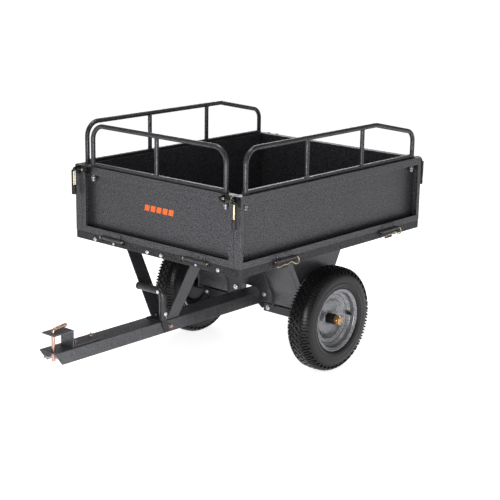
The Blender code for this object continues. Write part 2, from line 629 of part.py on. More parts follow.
# ------------------------------------------------------------------ dump release pedal
ped = wire(rounded([(-0.063, -0.010, 0.335), (0.051, -0.010, 0.335), (0.051, -0.010, 0.240)], 0.018, 3), 0.0122, 4)
hook = [(-0.012, 0.030), (0.009, 0.030), (0.0095, 0.0), (0.0085, -0.014), (0.0180, -0.026), (0.0180, -0.047),
        (0.0255, -0.047), (0.0255, -0.054), (0.006, -0.054), (-0.006, -0.035), (-0.012, -0.012)]
join(ped, plate([(py + a, pz + b) for a, b in hook], 0.0395, 0.0435))
cut(ped, rod((0.036, py, pz), (0.0438, py, pz), 0.0041, 10))
finish("dump_pedal", ped, "painted_steel", pedal_axis, 40)
pb = rod((0.0290, py, pz), (0.0445, py, pz), 0.0035, 10)
join(pb, rod((0.0441, py, pz), (0.0480, py, pz), 0.0055, 6), rod((0.0265, py, pz), (0.0307, py, pz), 0.0060, 6))
finish("pedal_pivot_bolt", pb, "bright_steel", bed, 40)

for leftover in list(tools.objects):
    bpy.data.objects.remove(leftover, do_unlink=True)
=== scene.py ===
"""Looks for the tow-behind dump cart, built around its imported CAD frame.

Box frame: y = 0 is the front face of the tray, +y runs rearward, +x is the cart's left,
z starts at the ground. W() turns a box-frame point into the frame's own coordinates."""

import json
import math

import bmesh
import bpy
from mathutils import Matrix, Vector


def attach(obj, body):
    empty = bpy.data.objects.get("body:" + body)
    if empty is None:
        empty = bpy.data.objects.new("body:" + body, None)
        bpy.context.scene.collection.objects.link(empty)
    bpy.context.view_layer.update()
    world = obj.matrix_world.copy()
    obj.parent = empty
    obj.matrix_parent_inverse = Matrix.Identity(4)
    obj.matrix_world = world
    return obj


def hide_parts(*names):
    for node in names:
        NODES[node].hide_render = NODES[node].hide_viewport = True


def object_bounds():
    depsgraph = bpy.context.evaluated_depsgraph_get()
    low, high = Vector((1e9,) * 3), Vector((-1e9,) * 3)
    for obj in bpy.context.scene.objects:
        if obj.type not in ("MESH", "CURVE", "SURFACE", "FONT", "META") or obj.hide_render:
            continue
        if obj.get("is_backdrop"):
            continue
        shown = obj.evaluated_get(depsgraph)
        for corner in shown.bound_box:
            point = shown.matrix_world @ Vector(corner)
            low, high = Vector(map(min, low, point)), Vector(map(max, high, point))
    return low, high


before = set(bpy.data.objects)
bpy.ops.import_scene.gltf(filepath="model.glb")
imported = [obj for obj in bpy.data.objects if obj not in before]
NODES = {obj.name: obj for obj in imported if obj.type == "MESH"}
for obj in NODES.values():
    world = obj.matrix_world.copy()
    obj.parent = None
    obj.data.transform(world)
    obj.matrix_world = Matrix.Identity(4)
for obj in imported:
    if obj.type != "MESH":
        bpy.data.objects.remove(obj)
cad_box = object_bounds()
SHIFT_Y = -0.26625
scene = bpy.context.scene


def W(x, y, z):
    return Vector((x, y + SHIFT_Y, z))


# ------------------------------------------------------------------ node helpers
class Graph:
    def __init__(self, name):
        self.mat = bpy.data.materials.new(name)
        self.mat.use_nodes = True
        self.tree = self.mat.node_tree
        self.tree.nodes.clear()
        self.out = self.new('ShaderNodeOutputMaterial')
        self.bsdf = self.new('ShaderNodeBsdfPrincipled')
        self.link(self.bsdf, 'BSDF', self.out, 'Surface')
        self.co = self.new('ShaderNodeTexCoord')

    def new(self, kind, **props):
        n = self.tree.nodes.new(kind)
        for k, v in props.items():
            setattr(n, k, v)
        return n

    def link(self, a, ao, b, bi):
        self.tree.links.new(a.outputs[ao], b.inputs[bi])

    def noise(self, scale, detail=3.0, rough=0.6, distort=0.0, stretch=None):
        n = self.new('ShaderNodeTexNoise')
        n.inputs['Scale'].default_value = scale
        n.inputs['Detail'].default_value = detail
        n.inputs['Roughness'].default_value = rough
        n.inputs['Distortion'].default_value = distort
        if stretch:
            mp = self.new('ShaderNodeMapping')
            mp.inputs['Scale'].default_value = stretch
            self.link(self.co, 'Object', mp, 'Vector')
            self.link(mp, 'Vector', n, 'Vector')
        else:
            self.link(self.co, 'Object', n, 'Vector')
        return n

    def voronoi(self, scale, feature='SMOOTH_F1', smooth=0.7):
        n = self.new('ShaderNodeTexVoronoi', feature=feature)
        n.inputs['Scale'].default_value = scale
        if feature == 'SMOOTH_F1':
            n.inputs['Smoothness'].default_value = smooth
        self.link(self.co, 'Object', n, 'Vector')
        return n

    def remap(self, node, out, lo, hi, a=0.0, b=1.0):
        m = self.new('ShaderNodeMapRange')
        m.inputs['From Min'].default_value = lo
        m.inputs['From Max'].default_value = hi
        m.inputs['To Min'].default_value = a
        m.inputs['To Max'].default_value = b
        self.link(node, out, m, 'Value')
        return m

    def math(self, op, a, ao, b=None, bo=None, value=None):
        m = self.new('ShaderNodeMath', operation=op)
        self.tree.links.new(a.outputs[ao], m.inputs[0])
        if b is not None:
            self.tree.links.new(b.outputs[bo], m.inputs[1])
        elif value is not None:
            m.inputs[1].default_value = value
        return m

    def mix(self, fac, fo, a, b, blend='MIX'):
        """a and b: an rgb tuple or a (node, output) pair."""
        m = self.new('ShaderNodeMix', data_type='RGBA', blend_type=blend)
        if isinstance(fac, float):
            m.inputs[0].default_value = fac
        else:
            self.tree.links.new(fac.outputs[fo], m.inputs[0])
        for slot, val in ((6, a), (7, b)):
            if isinstance(val, tuple) and len(val) == 2:
                self.tree.links.new(val[0].outputs[val[1]], m.inputs[slot])
            else:
                m.inputs[slot].default_value = (*val, 1.0)
        return m

    def edges(self, radius, lo, hi):
        """1 on convex edges and corners, 0 on flats."""
        bev = self.new('ShaderNodeBevel', samples=4)
        bev.inputs['Radius'].default_value = radius
        geo = self.new('ShaderNodeNewGeometry')
        dot = self.new('ShaderNodeVectorMath', operation='DOT_PRODUCT')
        self.link(bev, 'Normal', dot, 0)
        self.link(geo, 'Normal', dot, 1)
        return self.remap(dot, 'Value', hi, lo)


def shade(rgb, k):
    return tuple(min(1.0, max(0.0, c * k)) for c in rgb)


def coat(name, rgb, rough, metal, grain=235.0, speck=0.45, bump=0.4, depth=0.0006, vary=0.25,
         wear=0.6, wear_rgb=(0.19, 0.19, 0.20), rough_span=0.10, fleck=0.0, spec=0.5, clear=0.0):
    """Hammered or plain powder coat: cell grain, cloudy variation, flecks, worn edges."""
    g = Graph(name)
    fine = g.noise(grain, 2.5, 0.62)
    cell = g.voronoi(grain * 0.72)
    cloud = g.noise(5.5, 4.0, 0.6, 0.4)
    smear = g.noise(48.0, 5.0, 0.7)
    f = g.remap(fine, 'Fac', 0.34, 0.68)
    base = g.mix(f, 'Result', shade(rgb, 1 - speck), shade(rgb, 1 + speck))
    cl = g.remap(cloud, 'Fac', 0.30, 0.72, 1 - vary, 1 + vary * 0.6)
    col = g.mix(1.0, None, (base, 2), (cl, 'Result'), 'MULTIPLY')
    if fleck:
        dots = g.voronoi(grain * 2.1, 'F1')
        d = g.remap(dots, 'Distance', 0.20, 0.06, 0.0, fleck)
        col = g.mix(d, 'Result', (col, 2), shade(rgb, 4.0))
    edge = g.edges(0.0022, 0.86, 0.995)
    patch = g.remap(smear, 'Fac', 0.42, 0.66, 0.30, 1.0)
    mask = g.math('MULTIPLY', edge, 'Result', patch, 'Result')
    mask = g.math('MULTIPLY', mask, 'Value', value=wear)
    col = g.mix(mask, 'Value', (col, 2), wear_rgb)
    g.link(col, 2, g.bsdf, 'Base Color')
    r1 = g.remap(fine, 'Fac', 0.3, 0.7, rough + rough_span, rough - rough_span)
    r2 = g.remap(smear, 'Fac', 0.35, 0.7, -0.04, 0.05)
    rr = g.math('ADD', r1, 'Result', r2, 'Result')
    g.link(rr, 'Value', g.bsdf, 'Roughness')
    g.bsdf.inputs['Metallic'].default_value = metal
    g.bsdf.inputs['Specular IOR Level'].default_value = spec
    if clear:
        g.bsdf.inputs['Coat Weight'].default_value = clear
        g.bsdf.inputs['Coat Roughness'].default_value = 0.22
    h = g.math('MULTIPLY', cell, 'Distance', value=0.9)
    h = g.math('ADD', h, 'Value', fine, 'Fac')
    b = g.new('ShaderNodeBump')
    b.inputs['Strength'].default_value = bump
    b.inputs['Distance'].default_value = depth
    g.link(h, 'Value', b, 'Height')
    g.link(b, 'Normal', g.bsdf, 'Normal')
    return g.mat


def plated(name, rgb, tint, rough, grain=900.0, wear=0.5):
    """Zinc or chrome plating: drifting tint, fine scratches, brighter rubbed edges."""
    g = Graph(name)
    drift = g.noise(38.0, 3.0, 0.6, 0.8)
    fine = g.noise(grain, 3.0, 0.6)
    scratch = g.noise(160.0, 4.0, 0.7, 0.2, stretch=(1.0, 1.0, 1.6))
    d = g.remap(drift, 'Fac', 0.36, 0.66)
    col = g.mix(d, 'Result', rgb, tint)
    s = g.remap(scratch, 'Fac', 0.40, 0.62, 0.78, 1.08)
    col = g.mix(1.0, None, (col, 2), (s, 'Result'), 'MULTIPLY')
    edge = g.edges(0.0010, 0.80, 0.99)
    mask = g.math('MULTIPLY', edge, 'Result', value=wear)
    col = g.mix(mask, 'Value', (col, 2), shade(rgb, 1.35))
    g.link(col, 2, g.bsdf, 'Base Color')
    r = g.remap(scratch, 'Fac', 0.35, 0.7, rough - 0.07, rough + 0.12)
    g.link(r, 'Result', g.bsdf, 'Roughness')
    g.bsdf.inputs['Metallic'].default_value = 1.0
    b = g.new('ShaderNodeBump')
    b.inputs['Strength'].default_value = 0.18
    b.inputs['Distance'].default_value = 0.0002
    g.link(fine, 'Fac', b, 'Height')
    g.link(b, 'Normal', g.bsdf, 'Normal')
    return g.mat


def rubber(name, rgb, rough, grain=420.0, bump=0.35, dust=0.5, dust_rgb=(0.060, 0.060, 0.062), spec=0.45):
    g = Graph(name)
    fine = g.noise(grain, 3.0, 0.65)
    cloud = g.noise(14.0, 5.0, 0.65, 0.5)
    f = g.remap(fine, 'Fac', 0.35, 0.68)
    col = g.mix(f, 'Result', shade(rgb, 0.75), shade(rgb, 1.25))
    c = g.remap(cloud, 'Fac', 0.45, 0.72, 0.0, dust * 0.5)
    col = g.mix(c, 'Result', (col, 2), dust_rgb)
    edge = g.edges(0.0016, 0.80, 0.99)
    mask = g.math('MULTIPLY', edge, 'Result', value=dust)
    col = g.mix(mask, 'Value', (col, 2), shade(dust_rgb, 1.3))
    g.link(col, 2, g.bsdf, 'Base Color')
    r = g.remap(cloud, 'Fac', 0.3, 0.7, rough - 0.10, rough + 0.10)
    g.link(r, 'Result', g.bsdf, 'Roughness')
    g.bsdf.inputs['Specular IOR Level'].default_value = spec
    b = g.new('ShaderNodeBump')
    b.inputs['Strength'].default_value = bump
    b.inputs['Distance'].default_value = 0.0003
    g.link(fine, 'Fac', b, 'Height')
    g.link(b, 'Normal', g.bsdf, 'Normal')
    return g.mat


PANEL = coat("panel_hammered_coat", (0.056, 0.056, 0.062), 0.38, 0.40, grain=255, speck=0.98, bump=0.75,
             depth=0.0007, fleck=1.0, vary=0.08, rough_span=0.14, spec=0.4, wear=0.95, wear_rgb=(0.20, 0.20, 0.21))
RAIL = coat("rail_hammered_coat", (0.048, 0.048, 0.053), 0.33, 0.50, grain=240, speck=0.90, bump=0.8,
            depth=0.0007, fleck=0.9, vary=0.12, rough_span=0.14, spec=0.4)
TRAY = coat("tray_hammered_coat", (0.019, 0.019, 0.022), 0.42, 0.35, grain=225, speck=0.95, bump=0.9,
            depth=0.0009, fleck=0.8, vary=0.12, rough_span=0.14, spec=0.35, wear=0.9, wear_rgb=(0.16, 0.16, 0.17))
CHASSIS = coat("chassis_paint", (0.038, 0.038, 0.042), 0.34, 0.45, grain=300, speck=0.60, bump=0.5,
               depth=0.0005, fleck=0.5, vary=0.16, spec=0.35, wear=0.9, wear_rgb=(0.15, 0.15, 0.16))
TONGUE = coat("tongue_speckled_coat", (0.070, 0.070, 0.076), 0.33, 0.45, grain=330, speck=0.75, bump=0.6,
              depth=0.0005, fleck=0.7, vary=0.14, spec=0.45, wear=0.9, wear_rgb=(0.20, 0.20, 0.21))
RIMBACK = coat("wheel_back_dark_coat", (0.030, 0.030, 0.033), 0.36, 0.55, grain=300, speck=0.55, bump=0.4,
               depth=0.0004, fleck=0.4, vary=0.20, spec=0.30, wear=0.6, wear_rgb=(0.14, 0.14, 0.15))
WHEEL = coat("wheel_silver_grey_paint", (0.235, 0.237, 0.250), 0.34, 0.62, grain=300, speck=0.70, bump=0.35,
             depth=0.0004, fleck=0.45, vary=0.14, wear=0.5, wear_rgb=(0.45, 0.45, 0.46))
BLACK = coat("black_fitting_finish", (0.010, 0.010, 0.011), 0.34, 0.35, grain=520, speck=0.35, bump=0.22,
             depth=0.0003, fleck=0.0, vary=0.25, spec=0.35, wear=0.7, wear_rgb=(0.09, 0.09, 0.09))
GOLD = plated("gold_zinc_plate", (0.60, 0.52, 0.33), (0.56, 0.43, 0.29), 0.30)
COPPER = plated("copper_zinc_plate", (0.60, 0.41, 0.28), (0.54, 0.36, 0.28), 0.30)
BRASS = plated("brass_castle_nut", (0.72, 0.42, 0.16), (0.62, 0.32, 0.12), 0.30)
ROSE = plated("rose_zinc_plate", (0.62, 0.38, 0.34), (0.54, 0.33, 0.31), 0.32)
STEEL = plated("bright_zinc_plate", (0.70, 0.71, 0.74), (0.58, 0.60, 0.66), 0.30)
TYRE = rubber("tyre_rubber", (0.0066, 0.0066, 0.0074), 0.30, dust=0.12, dust_rgb=(0.022, 0.022, 0.024), spec=0.28)
GRIP = rubber("grip_rubber_black", (0.010, 0.010, 0.010), 0.50, grain=700, bump=0.25, dust=0.2)
BUSH = coat("bush_nylon_off_white", (0.60, 0.59, 0.55), 0.50, 0.0, grain=600, speck=0.06, bump=0.10,
            depth=0.0002, wear=0.3, wear_rgb=(0.70, 0.69, 0.66), vary=0.10)
ORANGE = coat("orange_decal_ink", (0.80, 0.13, 0.010), 0.48, 0.0, grain=175, speck=0.12, bump=0.5,
              depth=0.0006, wear=0.3, wear_rgb=(0.50, 0.12, 0.03), vary=0.08)

# ------------------------------------------------------------------ mesh helpers
def rounded(points, radii, seg=8):
    pts = [Vector(p) for p in points]
    out = [pts[0]]
    for i in range(1, len(pts) - 1):
        a, b, c = pts[i - 1], pts[i], pts[i + 1]
        u, v = (a - b).normalized(), (c - b).normalized()
        half = u.angle(v) / 2
        r = radii[i - 1] if isinstance(radii, (list, tuple)) else radii
        reach = r / math.tan(half)
        mid = b + (u + v).normalized() * (r / math.sin(half))
        s, e = b + u * reach - mid, b + v * reach - mid
        ang = s.angle(e)
        ax = s.cross(e).normalized()
        k = seg if ang > 0.6 else 4
        for j in range(k + 1):
            out.append(mid + Matrix.Rotation(ang * j / k, 3, ax) @ s)
    out.append(pts[-1])
    return out


def basis(n):
    n = Vector(n).normalized()
    ref = Vector((0, 0, 1)) if abs(n.z) < 0.9 else Vector((0, 1, 0))
    e1 = ref.cross(n).normalized()
    return e1, n.cross(e1), n


class Shape:
    def __init__(self):
        self.v, self.f, self.m = [], [], []

    def add(self, verts, faces, mi=0):
        k = len(self.v)
        self.v += [Vector(p) for p in verts]
        self.f += [tuple(i + k for i in f) for f in faces]
        self.m += [mi] * len(faces)

    def tube(self, pts, r, n=16, mi=0, section=None, up=None, dome=True, closed=False):
        """A round tube, or any section [(u, v)...], along a path."""
        pts = [Vector(p) for p in pts]
        if section is None:
            section = [(math.cos(math.tau * i / n), math.sin(math.tau * i / n)) for i in range(n)]
        else:
            n = len(section)
        m = len(pts)
        tang = []
        for i in range(m):
            if closed:
                t = pts[(i + 1) % m] - pts[i - 1]
            else:
                t = pts[min(i + 1, m - 1)] - pts[max(i - 1, 0)]
            tang.append(t.normalized())
        nrm = Vector(up) if up is not None else basis(tang[0])[0]
        nrm = (nrm - tang[0] * nrm.dot(tang[0])).normalized()
        radii = r if isinstance(r, (list, tuple)) else [r] * m
        rings = []
        for i in range(m):
            if i:
                q = tang[i - 1].rotation_difference(tang[i])
                nrm = q @ nrm
                nrm = (nrm - tang[i] * nrm.dot(tang[i])).normalized()
            bi = tang[i].cross(nrm)
            rings.append((pts[i], nrm.copy(), bi, radii[i], tang[i]))
        verts, faces = [], []

        def ring(p, a, b, rad):
            k = len(verts)
            verts.extend(p + a * (u * rad) + b * (v * rad) for u, v in section)
            return k

        order = []
        if dome and not closed:
            p, a, b, rad, t = rings[0]
            for ang in (60, 30):
                order.append(ring(p + t * (rad * 0.28 * (1 - math.sin(math.radians(ang))) - rad * 0.0), a, b,
                                  rad * (0.72 + 0.28 * math.cos(math.radians(ang)))))
        for j, (p, a, b, rad, t) in enumerate(rings):
            if dome and not closed and j == 0:
                p = p + t * rad * 0.28
            if dome and not closed and j == m - 1:
                p = p - t * rad * 0.28
            order.append(ring(p, a, b, rad))
        if dome and not closed:
            p, a, b, rad, t = rings[-1]
            for ang in (30, 60):
                order.append(ring(p - t * (rad * 0.28 * (1 - math.sin(math.radians(ang)))), a, b,
                                  rad * (0.72 + 0.28 * math.cos(math.radians(ang)))))
        pairs = list(zip(order, order[1:]))
        if closed:
            pairs.append((order[-1], order[0]))
        for k0, k1 in pairs:
            for i in range(n):
                j = (i + 1) % n
                faces.append((k0 + i, k0 + j, k1 + j, k1 + i))
        if not closed:
            faces.append(tuple(order[0] + i for i in reversed(range(n))))
            faces.append(tuple(order[-1] + i for i in range(n)))
        self.add(verts, faces, mi)

    def lathe(self, prof, o, axis, n=48, mi=0, closed=True, wobble=None):
        """(radius, axial) outline turned about an axis through o; r = 0 makes a pole."""
        e1, e2, ax = basis(axis)
        o = Vector(o)
        rings, verts = [], []
        for r, a in prof:
            if r < 1e-7:
                rings.append((len(verts), True))
                verts.append(o + ax * a)
            else:
                rings.append((len(verts), False))
                for i in range(n):
                    t = math.tau * i / n
                    k = wobble(t) if wobble else 0.0
                    verts.append(o + ax * a + (e1 * math.cos(t) + e2 * math.sin(t)) * (r + k))
        faces = []
        pairs = list(zip(rings, rings[1:])) + ([(rings[-1], rings[0])] if closed else [])
        for (k0, p0), (k1, p1) in pairs:
            for i in range(n):
                j = (i + 1) % n
                if p0 and p1:
                    continue
                if p0:
                    faces.append((k0, k1 + j, k1 + i))
                elif p1:
                    faces.append((k0 + i, k0 + j, k1))
                else:
                    faces.append((k0 + i, k0 + j, k1 + j, k1 + i))
        self.add(verts, faces, mi)

    def block(self, lo, hi, mi=0, matrix=None, taper=0.0):
        (x0, y0, z0), (x1, y1, z1) = lo, hi
        tx, ty = (x1 - x0) * taper / 2, (y1 - y0) * taper / 2
        v = [Vector(p) for p in ((x0, y0, z0), (x1, y0, z0), (x1, y1, z0), (x0, y1, z0),
                                 (x0 + tx, y0 + ty, z1), (x1 - tx, y0 + ty, z1),
                                 (x1 - tx, y1 - ty, z1), (x0 + tx, y1 - ty, z1))]
        if matrix is not None:
            v = [matrix @ p for p in v]
        self.add(v, [(3, 2, 1, 0), (4, 5, 6, 7), (0, 1, 5, 4), (1, 2, 6, 5), (2, 3, 7, 6), (3, 0, 4, 7)], mi)

    def slab(self, outline, lo, hi, put, mi=0):
        """A flat outline [(a, b)...] between lo and hi; put(a, b, c) places a point."""
        n = len(outline)
        v = [put(a, b, lo) for a, b in outline] + [put(a, b, hi) for a, b in outline]
        f = [tuple(range(n)), tuple(reversed(range(n, 2 * n)))]
        f += [(i, i + n, (i + 1) % n + n, (i + 1) % n) for i in range(n)]
        self.add(v, f, mi)

    def hexbolt(self, p, n, r=0.0062, h=0.0044, washer=0.0090, mi=0, turn=0.2, stud=0.0, dome=False):
        """A washer, a chamfered hexagon and, for a nut, the end of its stud."""
        e1, e2, ax = basis(n)
        p = Vector(p)
        if washer:
            self.lathe([(0, 0), (washer - 0.0003, 0), (washer, 0.0003), (washer, 0.0011), (washer - 0.0003, 0.0014),
                        (0, 0.0014)], p, n, 28, mi, closed=False)
        if dome:
            prof = [(r * 1.15, 0.0012)] + [(r * 1.15 * math.cos(math.radians(a)), 0.0016 + h * 0.75 * math.sin(math.radians(a)))
                                           for a in (8, 25, 45, 65, 80)] + [(0, 0.0016 + h * 0.76)]
            self.lathe([(0, 0.0008), (r * 1.15, 0.0008)] + prof, p, n, 24, mi, closed=False)
            return
        verts, faces, rings = [], [], []
        for rad, z, six in ((r, 0.0012, True), (r, h, True), (r * 0.93, h + 0.0006, False)):
            rings.append(len(verts))
            for i in range(24):
                t = math.tau * i / 24 + turn
                k = 1.0
                if six:
                    s = ((i % 4) / 4.0 - 0.5) * math.tau / 6
                    k = math.cos(math.pi / 6) / math.cos(s if i % 4 else math.pi / 6)
                else:
                    k = math.cos(math.pi / 6)
                verts.append(p + ax * z + (e1 * math.cos(t) + e2 * math.sin(t)) * (rad * k))
        for k0, k1 in zip(rings, rings[1:]):
            for i in range(24):
                j = (i + 1) % 24
                faces.append((k0 + i, k0 + j, k1 + j, k1 + i))
        faces.append(tuple(rings[0] + i for i in reversed(range(24))))
        faces.append(tuple(rings[-1] + i for i in range(24)))
        self.add(verts, faces, mi)
        if stud:
            q = r * 0.55
            prof = [(0, h)]
            z = h
            prof.append((q, z))
            while z < h + stud - 0.0006:
                prof += [(q, z + 0.0003), (q * 0.90, z + 0.0006)]
                z += 0.0009
            prof += [(q * 0.85, h + stud), (0, h + stud)]
            self.lathe(prof, p, n, 16, mi, closed=False)


def piece(name, shape, mats, body, replaces=(), bevel=0.0, seg=2, angle=35, smooth=True):
    me = bpy.data.meshes.new(name)
    me.from_pydata([tuple(v) for v in shape.v], [], shape.f)
    me.update()
    me.polygons.foreach_set('material_index', shape.m)
    bm = bmesh.new()
    bm.from_mesh(me)
    bmesh.ops.remove_doubles(bm, verts=bm.verts, dist=1e-6)
    bmesh.ops.recalc_face_normals(bm, faces=bm.faces)
    bm.to_mesh(me)
    bm.free()
    ob = bpy.data.objects.new(name, me)
    scene.collection.objects.link(ob)
    for m in (mats if isinstance(mats, (list, tuple)) else [mats]):
        me.materials.append(m)
    if smooth:
        me.shade_smooth()
        me.set_sharp_from_angle(angle=math.radians(angle))
    if bevel:
        b = ob.modifiers.new("edge", 'BEVEL')
        b.width = bevel
        b.segments = seg
        b.limit_method = 'ANGLE'
        b.angle_limit = math.radians(angle)
        b.harden_normals = False
    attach(ob, body)
    if replaces:
        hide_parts(*replaces)
    return ob


def dress(node, mat, bevel=0.0006, seg=2):
    """A CAD node keeps its shape and gets a finish and softened edges."""
    ob = NODES[node]
    ob.data.materials.clear()
    ob.data.materials.append(mat)
    w = ob.modifiers.new("weld", 'WELD')
    w.merge_threshold = 0.00002
    if bevel:
        b = ob.modifiers.new("edge", 'BEVEL')
        b.width = bevel
        b.segments = seg
        b.limit_method = 'ANGLE'
        b.angle_limit = math.radians(35)
        b.use_clamp_overlap = True
    n = ob.modifiers.new("normals", 'WEIGHTED_NORMAL')
    n.keep_sharp = False
    n.weight = 60
    return ob


# ------------------------------------------------------------------ CAD nodes that stay
for nm in ("front_panel", "rear_panel", "left_panel", "right_panel"):
    dress(nm, PANEL, 0.0007)
dress("bed_pan", TRAY, 0.0008)
for nm in ("axle_saddle_left", "axle_saddle_right", "bracket_bridge", "brace_left", "brace_right", "brace_foot"):
    dress(nm, CHASSIS, 0.0008)
for nm in ("axle_bracket_left", "axle_bracket_right", "tongue", "hitch_bracket"):
    dress(nm, TONGUE, 0.0008)
for end in ("front", "rear"):
    for side in ("left", "right"):
        dress(f"latch_bracket_{end}_{side}", BLACK, 0.0005)
        dress(f"latch_eye_{end}_{side}", BLACK, 0.0005)
for side in ("left", "right"):
    dress(f"hub_bush_{side}", BUSH, 0.0003)

# ------------------------------------------------------------------ guard rails
RAIL_R, STRUT_R, TOP = 0.008, 0.0075, 0.840
SQ = 0.006
square = []
for cx, cy, a0 in ((1, 1, 0), (-1, 1, 90), (-1, -1, 180), (1, -1, 270)):
    for k in range(4):
        t = math.radians(a0 + 30 * k)
        square.append((cx * (SQ - 0.0015) + 0.0015 * math.cos(t), cy * (SQ - 0.0015) + 0.0015 * math.sin(t)))


def bead(shape, centre, r, along, rail_r=None, flat_z=None, mi=0):
    """A lumpy weld where an upright strut meets a rail tube (or a flat)."""
    pts, radii = [], []
    n = 40
    for i in range(n):
        t = math.tau * i / n
        a, b = r * math.cos(t), r * math.sin(t)      # a along the rail, b across it
        z = centre[2] - (math.sqrt(max(0.0, rail_r ** 2 - b ** 2)) if rail_r else 0.0) if flat_z is None else flat_z
        if along == 'X':
            pts.append(Vector((centre[0] + a, centre[1] + b, z)))
        else:
            pts.append(Vector((centre[0] + b, centre[1] + a, z)))
        radii.append(0.00135 + 0.00028 * math.sin(11 * t + centre[0] * 40) + 0.00012 * math.sin(23 * t))
    shape.tube(pts, radii, 8, mi, closed=True)


def guard(name, path, foot_points, struts, bar_ends, along, body, node):
    s = Shape()
    s.tube(path, RAIL_R, 24)
    lo, hi = bar_ends
    s.tube([lo, hi], 1.0, section=square, up=(0, 0, 1), dome=False)
    for p in struts:
        s.tube([(p.x, p.y, 0.7100), (p.x, p.y, TOP)], STRUT_R, 20, dome=False)
        bead(s, (p.x, p.y, TOP), STRUT_R, along, RAIL_R)
        bead(s, (p.x, p.y, TOP), STRUT_R, along, None, 0.7128)
    for p in foot_points:
        # flattened foot plug, and the ring where the leg passes the panel's rim
        s.lathe([(0, 0.6490), (0.0050, 0.6490), (0.0060, 0.6498), (0.0062, 0.6560), (0.0078, 0.6575), (0.0084, 0.6600),
                 (0.0084, 0.6640), (0.0080, 0.6650)], (p.x, p.y, 0), (0, 0, 1), 24, 1, closed=False)
        s.lathe([(0.0079, 0.7004), (0.0112, 0.7004), (0.0115, 0.7008), (0.0112, 0.7016), (0.0086, 0.7030), (0.0079, 0.7034)],
                (p.x, p.y, 0), (0, 0, 1), 28, 0, closed=True)
        s.tube([(p.x, p.y, 0.7062)] * 1 + [(p.x, p.y, 0.7066)], 0.0094, 24, dome=False)
    return piece(name, s, [RAIL, WHEEL], body, (node,))


y = 0.0145
guard("front_rail_tubes", rounded([W(-0.304, y, 0.656), W(-0.304, y, TOP), W(0.304, y, TOP), W(0.304, y, 0.656)], 0.050, 12),
      [W(-0.304, y, 0), W(0.304, y, 0)], [W(0, y, 0)], (W(-0.3055, y, 0.7065), W(0.3055, y, 0.7065)), 'X',
      "front_side", "front_guard_rail")
for side, s in (("left", 1), ("right", -1)):
    x = s * 0.3615
    guard(f"{side}_rail_tubes",
          rounded([W(x, 0.040, 0.656), W(x, 0.040, TOP), W(x, 0.708, 0.841), W(x, 0.929, 0.792), W(x, 0.929, 0.656)],
                  [0.050, 0.050, 0.040], 12),
          [W(x, 0.040, 0), W(x, 0.929, 0)], [W(x, 0.337, 0), W(x, 0.631, 0)],
          (W(x, 0.0385, 0.7065), W(x, 0.9305, 0.7065)), 'Y', f"{side}_side", f"{side}_guard_rail")

# ------------------------------------------------------------------ wheels
AX_Y, AX_Z, HUB_X = 0.531, 0.1835, 0.318


def catmull(pts, k=4):
    out = []
    n = len(pts)
    for i in range(n - 1):
        p0, p1, p2, p3 = pts[max(i - 1, 0)], pts[i], pts[i + 1], pts[min(i + 2, n - 1)]
        for j in range(k):
            t = j / k
            out.append(tuple(0.5 * (2 * b + (c - a) * t + (2 * a - 5 * b + 4 * c - d) * t * t + (3 * b - a - 3 * c + d) * t ** 3)
                             for a, b, c, d in zip(p0, p1, p2, p3)))
    out.append(pts[-1])
    return out


# half of the carcass, from the crown to the bead: (radius, axial)
HALF = catmull([(0.1788, 0.0), (0.1785, 0.0090), (0.1775, 0.0180), (0.1753, 0.0262), (0.1712, 0.0332), (0.1668, 0.0380),
                (0.1620, 0.0420), (0.1540, 0.0446), (0.1440, 0.0462), (0.1340, 0.0461)], 3)
HALF = HALF[:-1] + [(0.1340, 0.0461), (0.1300, 0.0460), (0.1294, 0.0464), (0.1284, 0.0464), (0.1278, 0.0456),
                    (0.1230, 0.0450), (0.1190, 0.0438), (0.1186, 0.0441), (0.1176, 0.0440), (0.1170, 0.0430),
                    (0.1135, 0.0412), (0.1116, 0.0398), (0.1107, 0.0368), (0.1060, 0.0352), (0.1012, 0.0334)]
INNER = [(0.1016, 0.0280), (0.1200, 0.0360), (0.1410, 0.0395), (0.1560, 0.0370), (0.1690, 0.0270), (0.1742, 0.0100),
         (0.1748, 0.0)]
ARC = [0.0]
for (r0, a0), (r1, a1) in zip(HALF, HALF[1:]):
    ARC.append(ARC[-1] + math.hypot(r1 - r0, a1 - a0))


def on_tyre(t, theta, h):
    """t along the profile from the crown (sign picks the side), theta round, h outward."""
    s = 1 if t >= 0 else -1
    t = abs(t)
    i = 0
    while i < len(ARC) - 2 and ARC[i + 1] < t:
        i += 1
    k = (t - ARC[i]) / (ARC[i + 1] - ARC[i])
    (r0, a0), (r1, a1) = HALF[i], HALF[i + 1]
    r, a = r0 + (r1 - r0) * k, a0 + (a1 - a0) * k
    # a smooth normal from a wider window
    j0, j1 = max(i - 1, 0), min(i + 2, len(HALF) - 1)
    dr, da = HALF[j1][0] - HALF[j0][0], HALF[j1][1] - HALF[j0][1]
    if i == 0 and t < 1e-6:
        dr, da = 0.0, 1.0
    ln = math.hypot(dr, da)
    nr, na = da / ln, -dr / ln
    return r + nr * h, (a + na * h) * s, theta


